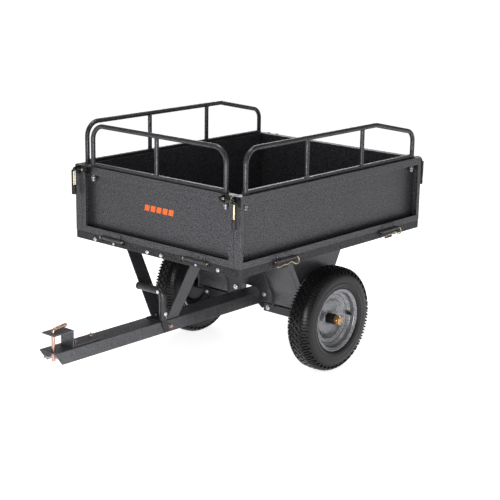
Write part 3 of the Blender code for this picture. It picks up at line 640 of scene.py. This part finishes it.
def lug(shape, chain, h, put, sink=0.0006, inset=0.00045):
    """chain: [(t, theta_left, theta_right)...]; a block standing h off the carcass."""
    n = len(chain)
    verts, faces = [], []
    for layer in (0, 1):
        for k, (t, l, r) in enumerate(chain):
            if layer:
                d = inset / 0.18
                l2, r2 = l + d, r - d
                if r2 < l2:
                    l2 = r2 = (l + r) / 2
                t2 = t
                if k == 0:
                    t2 = t + inset * (1 if chain[-1][0] > t else -1)
                if k == n - 1:
                    t2 = t - inset * (1 if chain[-1][0] > chain[0][0] else -1)
                verts += [put(*on_tyre(t2, l2, h)), put(*on_tyre(t2, r2, h))]
            else:
                verts += [put(*on_tyre(t, l, -sink)), put(*on_tyre(t, r, -sink))]
    m = 2 * n
    for k in range(n - 1):
        a, b, c, d = 2 * k, 2 * k + 1, 2 * k + 3, 2 * k + 2
        faces += [(m + a, m + b, m + c, m + d), (d, c, b, a), (a, m + a, m + d, d), (b, c, m + c, m + b)]
    faces += [(0, 1, m + 1, m), (2 * n - 2, m + 2 * n - 2, m + 2 * n - 1, 2 * n - 1)]
    shape.add(verts, faces, 0)


for side, sg in (("left", 1), ("right", -1)):
    body = f"wheel_{side}"

    def put(r, a, theta, sg=sg):
        return W(sg * (HUB_X + a), AX_Y + r * math.cos(theta), AX_Z + r * math.sin(theta))

    centre = W(sg * HUB_X, AX_Y, AX_Z)
    axis = (sg, 0, 0)
    tyre = Shape()
    prof = HALF + INNER + [(r, -a) for r, a in reversed(INNER[:-1])] + [(r, -a) for r, a in reversed(HALF)][:-1]
    tyre.lathe(prof, centre, axis, 160, 0, closed=True)
    N = 48
    step = math.tau / N
    for i in range(N):
        th = i * step
        half = step * 0.36
        lug(tyre, [(-0.0078, th - 0.006, th + 0.006), (-0.0040, th - half * 0.62, th + half * 0.62),
                   (0.0, th - half, th + half), (0.0040, th - half * 0.62, th + half * 0.62),
                   (0.0078, th - 0.006, th + 0.006)], 0.0046, put)
        for sd in (1, -1):
            o = th + step / 2
            lug(tyre, [(sd * 0.0062, o - 0.006, o + 0.006), (sd * 0.0110, o - half * 0.80, o + half * 0.80),
                       (sd * 0.0158, o - half * 0.80, o + half * 0.80), (sd * 0.0196, o - 0.010, o + 0.010)],
                0.0046, put)
            # small diamonds that lead into the shoulder
            lug(tyre, [(sd * 0.0150, th - 0.005, th + 0.005), (sd * 0.0190, th - half * 0.52, th + half * 0.52),
                       (sd * 0.0236, th - 0.006, th + 0.006)], 0.0044, put)
            # shoulder lugs, long and short by turns, wrapping onto the sidewall
            for q in range(2):
                c = th + (q - 0.5) * step / 2
                w = step * 0.145
                if (i * 2 + q) % 2:
                    t0, t1 = 0.0218, 0.0462
                else:
                    t0, t1 = 0.0240, 0.0405
                ks = [t0 + (t1 - t0) * k / 5 for k in range(6)]
                lug(tyre, [(sd * t, c - w * (1 - 0.10 * k / 5), c + w * (1 - 0.10 * k / 5)) for k, t in enumerate(ks)],
                    0.0058, put)
    # serrated ring low on the shoulder, and a raised band
    for i in range(156):
        th = math.tau * i / 156
        w = math.tau / 156 * 0.27
        for sd in (1, -1):
            lug(tyre, [(sd * 0.0468, th - w, th + w), (sd * 0.0500, th - w, th + w), (sd * 0.0532, th - w, th + w)],
                0.0007, put, 0.0003, 0.0001)
    piece(f"tyre_{side}_treaded", tyre, TYRE, body, (f"tyre_{side}",), angle=38)

    rim = Shape()
    outer = [(0.1100, 0.0380), (0.1101, 0.0392), (0.1096, 0.0400), (0.1086, 0.0404), (0.1072, 0.0402), (0.1060, 0.0394),
             (0.1035, 0.0380), (0.1012, 0.0372), (0.0992, 0.0364), (0.0984, 0.0352), (0.0978, 0.0318), (0.0966, 0.0250),
             (0.0958, 0.0218), (0.0950, 0.0206), (0.0930, 0.0196), (0.0880, 0.0174), (0.0852, 0.0162), (0.0842, 0.0152),
             (0.0838, 0.0140)]
    disc = [(0.0836, 0.0132), (0.0826, 0.0128), (0.0790, 0.0126), (0.0776, 0.0122), (0.0768, 0.0110), (0.0760, 0.0106),
            (0.0735, 0.0106), (0.0720, 0.0100), (0.0706, 0.0088), (0.0680, 0.0058), (0.0640, 0.0016), (0.0600, -0.0016),
            (0.0560, -0.0034), (0.0500, -0.0043), (0.0420, -0.0046), (0.0330, -0.0044), (0.0270, -0.0040),
            (0.0235, -0.0034), (0.0215, -0.0020), (0.0200, 0.0)]
    back = [(0.0180, -0.0062), (0.0300, -0.0066), (0.0500, -0.0064), (0.0590, -0.0054), (0.0650, -0.0008),
            (0.0710, 0.0056), (0.0730, 0.0076), (0.0838, 0.0094)]
    inner = [(0.0838, -0.0150), (0.0850, -0.0164), (0.0930, -0.0200), (0.0955, -0.0214), (0.0970, -0.0300),
             (0.0984, -0.0352), (0.1010, -0.0372), (0.1060, -0.0396), (0.1080, -0.0404), (0.1096, -0.0400),
             (0.1100, -0.0385)]
    outside = [(0.1004, -0.0348), (0.0990, -0.0290), (0.0978, -0.0200), (0.0862, -0.0136), (0.0862, 0.0136),
               (0.0978, 0.0200), (0.0990, 0.0290), (0.1004, 0.0348)]
    rim.lathe(outer + disc + [(0.0182, 0.0)] + back + inner + outside, centre, axis, 128, 0, closed=True)
    # the side towards the cart is the darker one
    for i, f in enumerate(rim.f):
        m = sum((rim.v[j] for j in f), Vector()) / len(f) - centre
        a = m.x * sg
        r = math.hypot(m.y, m.z)
        if r < 0.0838:
            for (r0, a0), (r1, a1) in zip(back, back[1:]):
                if r0 <= r <= r1 and abs(a - a0 - (a1 - a0) * (r - r0) / (r1 - r0)) < 0.0010:
                    rim.m[i] = 2
        elif a < 0.009 and r < 0.1030:
            rim.m[i] = 2
    # black hub tube with its washers
    rim.lathe([(0.0143, 0.0295), (0.0172, 0.0295), (0.0180, 0.0289), (0.0180, 0.0262), (0.0172, 0.0256), (0.0172, 0.0235),
               (0.0186, 0.0229), (0.0186, 0.0170), (0.0182, 0.0164), (0.0182, 0.0010), (0.0205, -0.0012), (0.0205, -0.0048),
               (0.0184, -0.0078), (0.0182, -0.0392), (0.0176, -0.0400), (0.0143, -0.0400)], centre, axis, 64, 1, closed=True)
    piece(f"rim_{side}_pressed", rim, [WHEEL, BLACK, RIMBACK], body, (f"rim_{side}",), angle=28)

    # tyre valve: rubber stem and cap leaning in towards the hub
    valve = Shape()
    base = Vector(put(0.0845, 0.0205, math.radians(2.5)))
    tip = Vector(put(0.0750, 0.0400, math.radians(2.5)))
    d = (tip - base)
    valve.lathe([(0, -0.001), (0.0072, -0.001), (0.0074, 0.0008), (0.0060, 0.0022), (0.0044, 0.0050), (0.0040, 0.0120),
                 (0.0036, 0.0150), (0.0036, 0.0156), (0, 0.0156)], base, d, 24, 0, closed=False)
    cap = [(0, 0.0150), (0.0044, 0.0150)]
    for k in range(4):
        cap += [(0.0045, 0.0155 + k * 0.0014), (0.0042, 0.0161 + k * 0.0014)]
    cap += [(0.0042, 0.0212), (0.0034, 0.0222), (0, 0.0224)]
    valve.lathe(cap, base, d, 20, 0, closed=False)
    piece(f"valve_stem_{side}", valve, GRIP, body, angle=40)

    # castle nut, stud and split pin: they stay with the axle
    nut = Shape()
    end = W(sg * HUB_X, AX_Y, AX_Z)
    nut.lathe([(0.0127, 0.0305), (0.0168, 0.0305), (0.0172, 0.0309), (0.0172, 0.0322), (0.0168, 0.0326), (0.0127, 0.0326)],
              end, axis, 40, 1, closed=True)
    nut.lathe([(0.0090, 0.0328), (0.0136, 0.0328), (0.0149, 0.0336), (0.0150, 0.0350), (0.0150, 0.0440), (0.0146, 0.0452),
               (0.0140, 0.0458), (0.0090, 0.0458)], end, axis, 36, 0, closed=True)
    e1, e2, ax = basis(axis)
    for k in range(6):
        # the six crown segments
        a0, a1 = math.radians(60 * k + 9), math.radians(60 * k + 51)
        verts = []
        for lay, z in ((0, 0.0455), (1, 0.0506), (2, 0.0512)):
            for j in range(5):
                t = a0 + (a1 - a0) * j / 4
                ro, ri = (0.0141, 0.0090) if lay < 2 else (0.0135, 0.0095)
                u = e1 * math.cos(t) + e2 * math.sin(t)
                verts += [end + ax * z + u * ri, end + ax * z + u * ro]
        faces = []
        for lay in range(2):
            b0, b1 = lay * 10, (lay + 1) * 10
            for j in range(4):
                faces += [(b0 + 2 * j, b1 + 2 * j, b1 + 2 * j + 2, b0 + 2 * j + 2),
                          (b0 + 2 * j + 1, b0 + 2 * j + 3, b1 + 2 * j + 3, b1 + 2 * j + 1)]
            faces += [(b0, b0 + 1, b1 + 1, b1), (b0 + 8, b1 + 8, b1 + 9, b0 + 9)]
        for j in range(4):
            faces += [(20 + 2 * j, 20 + 2 * j + 1, 20 + 2 * j + 3, 20 + 2 * j + 2), (2 * j, 2 * j + 2, 2 * j + 3, 2 * j + 1)]
        nut.add(verts, faces, 0)
    stud = [(0, 0.0300), (0.0086, 0.0300)]
    z = 0.0440
    while z < 0.0490:
        stud += [(0.0088, z), (0.0083, z + 0.0005)]
        z += 0.0010
    stud += [(0.0080, 0.0500), (0.0066, 0.0509), (0.0030, 0.0509), (0.0018, 0.0498), (0, 0.0496)]
    nut.lathe(stud, end, axis, 28, 2, closed=False)
    pin = [end + ax * 0.0482 + e2 * 0.0155, end + ax * 0.0482 + e2 * 0.0, end + ax * 0.0482 - e2 * 0.0135,
           end + ax * 0.0500 - e2 * 0.0158, end + ax * 0.0470 - e2 * 0.0172]
    nut.tube(pin, 0.0012, 8, 3)
    ring = [end + ax * (0.0482 + 0.0022 * math.cos(a)) + e2 * (0.0168 + 0.0022 * math.sin(a))
            for a in [math.tau * k / 14 for k in range(14)]]
    nut.tube(ring, 0.0010, 8, 3, closed=True)
    piece(f"castle_nut_{side}", nut, [BRASS, BLACK, COPPER, STEEL], "chassis", (f"hub_cap_{side}",), angle=35)

# axle bar with its collars
axle = Shape()
c = W(0, AX_Y, AX_Z)
prof = [(0, -0.3640), (0.0110, -0.3640), (0.0125, -0.3625), (0.0125, -0.2758), (0.0176, -0.2756), (0.0180, -0.2750),
        (0.0180, -0.2670), (0.0176, -0.2664), (0.0125, -0.2662)]
prof = prof + [(r, -a) for r, a in reversed(prof)]
axle.lathe(prof, c, (1, 0, 0), 48, 0, closed=False)
for sg in (1, -1):
    axle.hexbolt(W(sg * 0.271, AX_Y - 0.0172, AX_Z), (0, -1, 0), 0.0032, 0.0026, 0, 0)
piece("axle_bar", axle, CHASSIS, "chassis", ("axle",), angle=35)

# ------------------------------------------------------------------ hitch pin, clip and bolts
HY = -0.433
hp = Shape()
path = rounded([W(0, HY, 0.191), W(0, HY, 0.2915), W(0, HY + 0.052, 0.2975)], 0.010, 14)
cutz = 0.2165
foot = W(0, HY, 0)
neck = Vector((0, foot.y, cutz))
hp.tube([path[0], neck - Vector((0, 0, 0.0014)), neck - Vector((0, 0, 0.0004)), neck], [0.0062, 0.0062, 0.0050, 0.0050],
        24, 1, dome=False)
hp.tube([neck, neck + Vector((0, 0, 0.0004)), neck + Vector((0, 0, 0.0014))] + path[1:],
        [0.0050, 0.0050, 0.0062] + [0.0062] * (len(path) - 1), 24, 0, dome=False)
hp.lathe([(0, -0.0008), (0.0046, -0.0008), (0.0058, -0.0002), (0.0062, 0.0006), (0, 0.0006)], path[0], (0, 0, 1), 24, 1,
         closed=False)
d = path[-1] - path[-2]
hp.lathe([(0, -0.0004), (0.0062, -0.0004), (0.0058, 0.0008), (0.0044, 0.0014), (0, 0.0014)], path[-1], d, 24, 0,
         closed=False)
piece("hitch_pin_rod", hp, [COPPER, ROSE], "hitch_pin_group", ("hitch_pin",), angle=40)

CZ = 0.200
ux, uy = -0.86, -0.5103


def cp(s, t):
    return W(s * ux + t * uy, HY + s * uy - t * ux, CZ)


clip = [(-0.014, 0.0), (0.012, 0.0), (0.021, 0.0002)]
clip += [(0.0265 + 0.0055 * math.cos(math.radians(-100 + 210 * i / 16)),
          0.0052 + 0.0055 * math.sin(math.radians(-100 + 210 * i / 16))) for i in range(17)]
clip += [(0.016, 0.0085), (0.009, 0.0105), (0.0, 0.0104), (-0.006, 0.0092), (-0.013, 0.0115)]
cs = Shape()
cs.tube([cp(*q) for q in catmull(clip, 3)], 0.0015, 12)
piece("hitch_clip_wire", cs, STEEL, "hitch_pin_group", ("hitch_clip",), angle=60)

cb = Shape()
cb.tube([W(-0.0420, 0.039, 0.206), W(0.0470, 0.039, 0.206)], 0.0040, 16)
cb.hexbolt(W(0.0378, 0.039, 0.206), (1, 0, 0), 0.0062, 0.0062, 0.0070, 0, 0.5)
cb.hexbolt(W(-0.0378, 0.039, 0.206), (-1, 0, 0), 0.0070, 0.0052, 0.0085, 0, 0.1)
piece("tongue_cross_bolt_hex", cb, ROSE, "chassis", ("tongue_cross_bolt",), angle=35)

ft = Shape()
ft.hexbolt(W(0, -0.344, 0.2323), (0, 0, 1), 0.0060, 0.0045, 0.0085, 0, 0.3)
ft.hexbolt(W(0, -0.280, 0.2323), (0, 0, 1), 0.0064, 0.0058, 0.0, 1, 0.2, stud=0.0090)
ft.hexbolt(W(0, -0.344, 0.2240), (0, 0, -1), 0.0055, 0.0040, 0.0080, 0, 0.3, stud=0.004)
ft.hexbolt(W(0, -0.280, 0.2240), (0, 0, -1), 0.0070, 0.0045, 0.0095, 1, 0.3)
piece("hitch_foot_bolts", ft, [ROSE, COPPER], "chassis", angle=35)

# ------------------------------------------------------------------ hinge pins
SPOTS = {"front": (("right", -0.195), ("left", 0.195)), "rear": (("right", -0.195), ("left", 0.195)),
         "left": (("front", 0.211), ("rear", 0.778)), "right": (("front", 0.211), ("rear", 0.778))}


def placed(side, u, v, w):
    if side == "front":
        return W(u, -v, w)
    if side == "rear":
        return W(u, 0.963 + v, w)
    if side == "left":
        return W(0.380 + v, u, w)
    return W(-0.380 - v, u, w)


for side, spots in SPOTS.items():
    for where, c in spots:
        s = Shape()
        if side in ("front", "rear"):
            s.tube([placed(side, c - 0.0530, 0.007, 0.466), placed(side, c + 0.0530, 0.007, 0.466)], 0.0026, 16)
            d = placed(side, c + 1, 0, 0) - placed(side, c, 0, 0)
            s.lathe([(0, -0.0562), (0.0030, -0.0562), (0.0044, -0.0555), (0.0048, -0.0544), (0.0048, -0.0530),
                     (0.0044, -0.0526), (0, -0.0526)], placed(side, c, 0.007, 0.466), d, 20, 0, closed=False)
            q = placed(side, c + 0.0512, 0.007, 0.466)
            ring = [q + Vector((0, 0.0042 * math.cos(a), 0.0042 * math.sin(a))) for a in
                    [math.tau * k / 16 for k in range(16)]]
            s.tube(ring, 0.0007, 6, 0, closed=True)
        else:
            pts = [(-0.0535, 0.007, 0.466), (0.0480, 0.007, 0.466)]
            pts += [(0.0520 + 0.011 * math.cos(math.radians(90 - 15 * i)), 0.007 + 0.0055 * i / 12,
                     0.455 + 0.011 * math.sin(math.radians(90 - 15 * i))) for i in range(13)]
            wavy = [(0.0400, 0.0128, 0.4465), (0.0270, 0.0130, 0.4540), (0.0160, 0.0130, 0.4560),
                    (0.0020, 0.0130, 0.4515), (-0.0140, 0.0130, 0.4530), (-0.0380, 0.0130, 0.4495), (-0.0500, 0.0130, 0.4520)]
            pts += catmull([(0.0480, 0.0125, 0.4442)] + wavy, 4)
            s.tube([placed(side, c + a, b, w) for a, b, w in pts], 0.0019, 12)
        piece(f"hinge_pin_{side}_{where}_wire", s, GOLD, "bed", (f"hinge_pin_{side}_{where}",), angle=50)

# ------------------------------------------------------------------ corner latches
for end in ("front", "rear"):
    for side, sg in (("left", 1), ("right", -1)):
        tag = f"{end}_{side}"

        def L(x, y, z, sg=sg, end=end):
            return W(sg * x, y if end == "front" else 0.963 - y, z)

        s = Shape()
        # plated tip and drop, blackened where it runs in the ears and round the elbow
        s.tube([L(0.3165, -0.018, 0.690), L(0.3270, -0.018, 0.690)], 0.0040, 20, 0)
        s.tube(rounded([L(0.3266, -0.018, 0.690), L(0.368, -0.018, 0.690), L(0.368, -0.018, 0.6780)], 0.006, 8), 0.0041, 20, 1)
        s.tube([L(0.3678, -0.018, 0.6790), L(0.3678, -0.018, 0.606)], 0.0036, 20, 0 if end == "front" else 1)
        s.lathe([(0.0040, 0.0), (0.0062, 0.0002), (0.0066, 0.0010), (0.0062, 0.0020), (0.0040, 0.0022)],
                L(0.3555, -0.018, 0.690), (sg, 0, 0), 24, 0, closed=True)
        piece(f"latch_pin_{tag}_rod", s, [GOLD, BLACK], f"latch_{tag}", (f"latch_pin_{tag}",), angle=50)
        g = Shape()
        prof = [(0.0, 0.5985), (0.0066, 0.5985), (0.0080, 0.5995)]
        z = 0.6008
        while z < 0.6268:
            prof += [(0.0084, z), (0.0084, z + 0.0013), (0.0077, z + 0.0017), (0.0077, z + 0.0023)]
            z += 0.0028
        prof += [(0.0083, 0.6290), (0.0072, 0.6302), (0.0041, 0.6302), (0.0041, 0.6030), (0, 0.6030)]
        g.lathe(prof, L(0.368, -0.018, 0), (0, 0, 1), 28, 0, closed=False)
        g.slab([(0.3736, 0.6285), (0.3764, 0.6285), (0.3764, 0.6800), (0.3750, 0.6830), (0.3736, 0.6830)], -0.0215, -0.0120,
               lambda a, b, c, L=L: L(a, c, b), 0)
        piece(f"latch_grip_{tag}_sleeve", g, GRIP, f"latch_{tag}", (f"latch_grip_{tag}",), angle=35)
        # thickened round bosses on the two ears, and the screws of their base plates
        for who, x0, x1, bx, body in (("bracket", 0.3545, 0.3565, 0.366, f"{side}_side"),
                                      ("eye", 0.3095, 0.3115, 0.306, "front_side" if end == "front" else "tailgate")):
            b = Shape()
            b.lathe([(0.0047, x0), (0.0082, x0), (0.0086, x0 + 0.0005), (0.0086, x1 - 0.0005), (0.0080, x1), (0.0047, x1)],
                    W(0, -0.018 if end == "front" else 0.981, 0.690), (sg, 0, 0), 32, 0, closed=True)
            n = (0, -1 if end == "front" else 1, 0)
            for zz in (0.677, 0.694):
                b.hexbolt(L(bx, -0.0028, zz), n, 0.0028, 0.0016, 0, 0, dome=True)
            piece(f"latch_{who}_{tag}_boss", b, BLACK, body, angle=40)

# ------------------------------------------------------------------ dump pedal
ped = Shape()
path = rounded([W(-0.063, -0.010, 0.335), W(0.051, -0.010, 0.335), W(0.051, -0.010, 0.240)], 0.018, 12)
ped.tube(path, 0.0122, 32, 0)
ped.lathe([(0, -0.0645), (0.0105, -0.0645), (0.0125, -0.0635), (0.0130, -0.0620), (0.0130, -0.0560), (0.0126, -0.0550),
           (0.0100, -0.0550)], W(0, -0.010, 0.335), (1, 0, 0), 32, 1, closed=False)
py, pz = 0.008, 0.243
hook = [(-0.012, 0.030), (0.009, 0.030), (0.0095, 0.0), (0.0085, -0.014), (0.0165, -0.026), (0.0165, -0.047),
        (0.0225, -0.047), (0.0225, -0.054), (0.006, -0.054), (-0.006, -0.035), (-0.012, -0.012)]
ped.slab([(py + a, pz + b) for a, b in hook], 0.0395, 0.0435, lambda a, b, c: W(c, a, b), 0)
# the corner bolts and the return spring beside the leg
ped.hexbolt(W(0.0635, -0.010, 0.262), (1, 0, 0), 0.0045, 0.0030, 0.0065, 2, 0.2)
ped.hexbolt(W(0.040, -0.0224, 0.335), (0, -1, 0), 0.0042, 0.0030, 0.0060, 2, 0.2)
piece("dump_pedal_lever", ped, [CHASSIS, GRIP, STEEL], "pedal", ("dump_pedal",), angle=35)

sp = Shape()
coil = [W(0.0325 + 0.0030 * math.cos(math.tau * k / 10), 0.004 + 0.0030 * math.sin(math.tau * k / 10), 0.258 + 0.00022 * k)
        for k in range(0, 170)]
coil = [W(0.0325, 0.004, 0.2445)] + coil + [W(0.0325, 0.004, 0.2970), W(0.0325, 0.010, 0.2990)]
sp.tube(coil, 0.0009, 6)
piece("pedal_return_spring", sp, STEEL, "bed", angle=60)

pb = Shape()
pb.tube([W(0.0280, py, pz), W(0.0470, py, pz)], 0.0035, 16)
pb.hexbolt(W(0.0437, py, pz), (1, 0, 0), 0.0055, 0.0040, 0.0072, 0, 0.2)
pb.hexbolt(W(0.0312, py, pz), (-1, 0, 0), 0.0058, 0.0042, 0.0075, 0, 0.4)
piece("pedal_pivot_bolt_hex", pb, STEEL, "bed", ("pedal_pivot_bolt",), angle=35)

# ------------------------------------------------------------------ bolts on the tray, brackets and braces
bt = Shape()
for x in (-0.285, -0.191, -0.032, 0.032, 0.191, 0.285):
    bt.hexbolt(W(x, 0.001, 0.4515), (0, -1, 0), 0.0048, 0.0038, 0.0066, 0, x * 9, stud=0.0016)
for x in (-0.285, -0.095, 0.095, 0.285):
    bt.hexbolt(W(x, 0.962, 0.4515), (0, 1, 0), 0.0048, 0.0038, 0.0066, 0, x * 9, stud=0.0016)
piece("tray_flange_bolts", bt, STEEL, "bed", angle=35)

fb = Shape()
for sg in (1, -1):
    for x, yy in ((0.122, 0.380), (0.243, 0.380), (0.122, 0.682), (0.243, 0.682), (0.185, 0.0475), (0.152, 0.0475)):
        fb.hexbolt(W(sg * x, yy, 0.4695), (0, 0, 1), 0.0070, 0.0032, 0.0, 0, 0.0, dome=True)
piece("tray_floor_bolts", fb, STEEL, "bed", angle=35)

kb = Shape()
for sg in (1, -1):
    kb.hexbolt(W(sg * 0.068, 0.4785, 0.228), (0, -1, 0), 0.0062, 0.0045, 0.0090, 0, 0.2 * sg, stud=0.003)
    kb.hexbolt(W(sg * 0.066, 0.5030, 0.172), (0, -1, 0), 0.0060, 0.0045, 0.0085, 0, 0.5 * sg, stud=0.003)
    kb.hexbolt(W(sg * 0.066, 0.5590, 0.172), (0, 1, 0), 0.0060, 0.0045, 0.0085, 0, 0.5 * sg, stud=0.003)
    kb.hexbolt(W(sg * 0.235, 0.5030, 0.172), (0, -1, 0), 0.0060, 0.0045, 0.0085, 0, 0.3 * sg, stud=0.003)
for x, yy in ((-0.020, 0.030), (0.015, 0.022), (0.0, 0.064)):
    kb.hexbolt(W(x, yy, 0.2303), (0, 0, 1), 0.0050, 0.0040, 0.0072, 0, 0.2, stud=0.002)
piece("bracket_bolts", kb, STEEL, "bed", angle=35)

wd = Shape()
for sg in (1, -1):
    p0, p1, p2 = W(sg * 0.1047, 0.3560, 0.4655), W(sg * 0.1047, 0.4790, 0.2362), W(sg * 0.1047, 0.4790, 0.2020)
    pts, radii = [], []
    n = 70
    for i in range(n + 1):
        t = i / n
        pts.append(p0.lerp(p1, t / 0.86) if t < 0.86 else p1.lerp(p2, (t - 0.86) / 0.14))
        radii.append(0.0034 + 0.00035 * math.sin(i * 1.9) + 0.0002 * math.sin(i * 0.7))
    wd.tube(pts, radii, 8)
    # braces welded to the foot plate
    a, b = W(sg * 0.0345, 0.0215, 0.2312), W(sg * 0.0345, 0.0735, 0.2312)
    pts = [a.lerp(b, i / 26) for i in range(27)]
    wd.tube(pts, [0.0014 + 0.0003 * math.sin(i * 2.3) for i in range(27)], 8)
piece("bracket_welds", wd, CHASSIS, "bed", angle=60)

# ------------------------------------------------------------------ pressed shape on the bracket sheets
TOPZ = 0.4672
for side, sg in (("left", 1), ("right", -1)):
    em = Shape()
    for rear in (0, 1):
        y_top, y_bot = (0.361, 0.486) if not rear else (0.701, 0.576)
        p_top, p_bot = W(0, y_top, TOPZ), W(0, y_bot, 0.236)
        down = (p_bot - p_top).normalized()
        nrm = Vector((0, down.z, -down.y)) if not rear else Vector((0, -down.z, down.y))
        if nrm.y * (1 if rear else -1) < 0:
            nrm = -nrm
        length = (p_bot - p_top).length
        out = []
        w0, w1, cx = 0.052, 0.046, 0.1825
        for cxs, cys, a0, rad in ((1, 0, -90, 0.040), (1, 1, 0, 0.012), (-1, 1, 90, 0.012), (-1, 0, 180, 0.040)):
            for k in range(9):
                t = math.radians(a0 + 90 * k / 8)
                yy = (0.030 + rad) if not cys else (length - 0.016 - rad)
                out.append((cx + cxs * (w0 - rad) + rad * math.cos(t), yy + rad * math.sin(t)))
        steps = ((0.0, 0.0), (0.0016, 0.0009), (0.0034, 0.0016), (0.0060, 0.0018))
        rings = []
        verts, faces = [], []
        mx = sum(p[0] for p in out) / len(out)
        my = sum(p[1] for p in out) / len(out)
        for ins, h in steps:
            rings.append(len(verts))
            for a, b in out:
                v = Vector((a - mx, b - my))
                v = v * (1 - ins / v.length)
                verts.append(Vector((sg * (mx + v.x), 0, 0)) + Vector((0, p_top.y, p_top.z)) + down * (my + v.y)
                             + nrm * (h - 0.0004))
        n = len(out)
        for k0, k1 in zip(rings, rings[1:]):
            for i in range(n):
                j = (i + 1) % n
                faces.append((k0 + i, k0 + j, k1 + j, k1 + i))
        faces.append(tuple(rings[-1] + i for i in range(n)))
        faces.append(tuple(rings[0] + i for i in reversed(range(n))))
        em.add(verts, faces)
    piece(f"bracket_pressing_{side}", em, TONGUE, "bed", angle=50)

# ------------------------------------------------------------------ plain orange marking on the front panel
dc = Shape()
x0, x1, z0, z1 = -0.069, 0.069, 0.5845, 0.6045
cell = (x1 - x0) / 5
for k in range(5):
    a, b = x0 + k * cell + 0.0020, x0 + (k + 1) * cell - 0.0042
    lean = 0.0040
    dc.slab([(a, z0), (b, z0), (b + lean, z1), (a + lean, z1)], 0.02310, 0.02355, lambda p, q, r: W(p, r, q))
piece("front_marking", dc, ORANGE, "front_side", bevel=0.0001, seg=1, angle=30)

# ------------------------------------------------------------------ camera, light, floor
cam = bpy.data.cameras.new("camera")
cam.lens = 96.03
cam.sensor_width = 36.0
cam_ob = bpy.data.objects.new("camera", cam)
scene.collection.objects.link(cam_ob)
yaw, pitch, roll = math.radians(-41.326), math.radians(14.503), math.radians(0.855)
fw = Vector((math.sin(yaw) * math.cos(pitch), math.cos(yaw) * math.cos(pitch), -math.sin(pitch)))
rt = Vector((math.cos(yaw), -math.sin(yaw), 0.0))
up = rt.cross(fw)
rt2 = rt * math.cos(roll) + up * math.sin(roll)
up2 = up * math.cos(roll) - rt * math.sin(roll)
m = Matrix.Identity(4)
for k, axis in enumerate((rt2, up2, -fw)):
    for j in range(3):
        m[j][k] = axis[j]
m.translation = Vector((3.0235, -3.22845, 1.562))
cam_ob.matrix_world = m
scene.camera = cam_ob

floor_me = bpy.data.meshes.new("studio_floor")
bm = bmesh.new()
bmesh.ops.create_grid(bm, x_segments=8, y_segments=8, size=40.0)
bm.to_mesh(floor_me)
bm.free()
floor = bpy.data.objects.new("studio_floor", floor_me)
floor.location = (0, 0, -0.0006)
scene.collection.objects.link(floor)
fg = Graph("studio_floor_paint")
fn = fg.noise(3.0, 2.0, 0.5)
fm = fg.remap(fn, 'Fac', 0.3, 0.7)
fc = fg.mix(fm, 'Result', (0.90, 0.90, 0.90), (0.92, 0.92, 0.92))
fg.link(fc, 2, fg.bsdf, 'Base Color')
fg.bsdf.inputs['Roughness'].default_value = 0.9
fg.bsdf.inputs['Specular IOR Level'].default_value = 0.0
fg.bsdf.inputs['Emission Color'].default_value = (1, 1, 1, 1)
fg.bsdf.inputs['Emission Strength'].default_value = 0.80
floor_me.materials.append(fg.mat)
floor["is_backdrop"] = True

world = bpy.data.worlds.new("studio_world")
world.use_nodes = True
scene.world = world
wt = world.node_tree
bg = wt.nodes["Background"]
bg.inputs[0].default_value = (1, 1, 1, 1)
bg.inputs[1].default_value = 0.24
backdrop = wt.nodes.new('ShaderNodeBackground')
backdrop.inputs[0].default_value = (1, 1, 1, 1)
backdrop.inputs[1].default_value = 1.0
rays = wt.nodes.new('ShaderNodeLightPath')
pick = wt.nodes.new('ShaderNodeMixShader')
wt.links.new(rays.outputs['Is Camera Ray'], pick.inputs[0])
wt.links.new(bg.outputs[0], pick.inputs[1])
wt.links.new(backdrop.outputs[0], pick.inputs[2])
wt.links.new(pick.outputs[0], wt.nodes["World Output"].inputs['Surface'])


def softbox(name, at, aim, size, watts, size_y=None):
    li = bpy.data.lights.new(name, 'AREA')
    li.shape = 'RECTANGLE'
    li.size = size
    li.size_y = size_y or size
    li.energy = watts
    ob = bpy.data.objects.new(name, li)
    scene.collection.objects.link(ob)
    ob.location = at
    ob.rotation_euler = (Vector(aim) - Vector(at)).to_track_quat('-Z', 'Y').to_euler()
    ob.visible_camera = False
    return ob


softbox("key_low", (1.25, -1.40, 0.42), (0.28, -0.28, 0.45), 0.8, 11.5, 0.6)
softbox("key_top", (-0.1, -0.2, 3.2), (0, 0, 0.4), 1.2, 44)
softbox("back_top", (-2.0, 2.6, 2.2), (0, 0, 0.6), 1.8, 30, 1.0)
softbox("left_strip", (-2.6, -2.2, 1.5), (0, -0.2, 0.5), 0.6, 6, 2.2)
softbox("near_corner", (0.80, -1.20, 0.66), (0.30, -0.27, 0.58), 0.45, 5.0)
softbox("right_back", (3.0, 1.2, 1.3), (0.2, 0.2, 0.4), 0.5, 6, 1.8)

scene.view_settings.view_transform = 'Standard'
scene.view_settings.look = 'None'
scene.view_settings.exposure = 0.0
scene.view_settings.gamma = 1.0

vis_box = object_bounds()


def plain(b):
    if isinstance(b, dict):
        return {k: plain(v) for k, v in b.items()}
    if hasattr(b, "__len__"):
        return [plain(v) for v in b]
    return float(b)


json.dumps({"cad": plain(cad_box), "visual": plain(vis_box)})
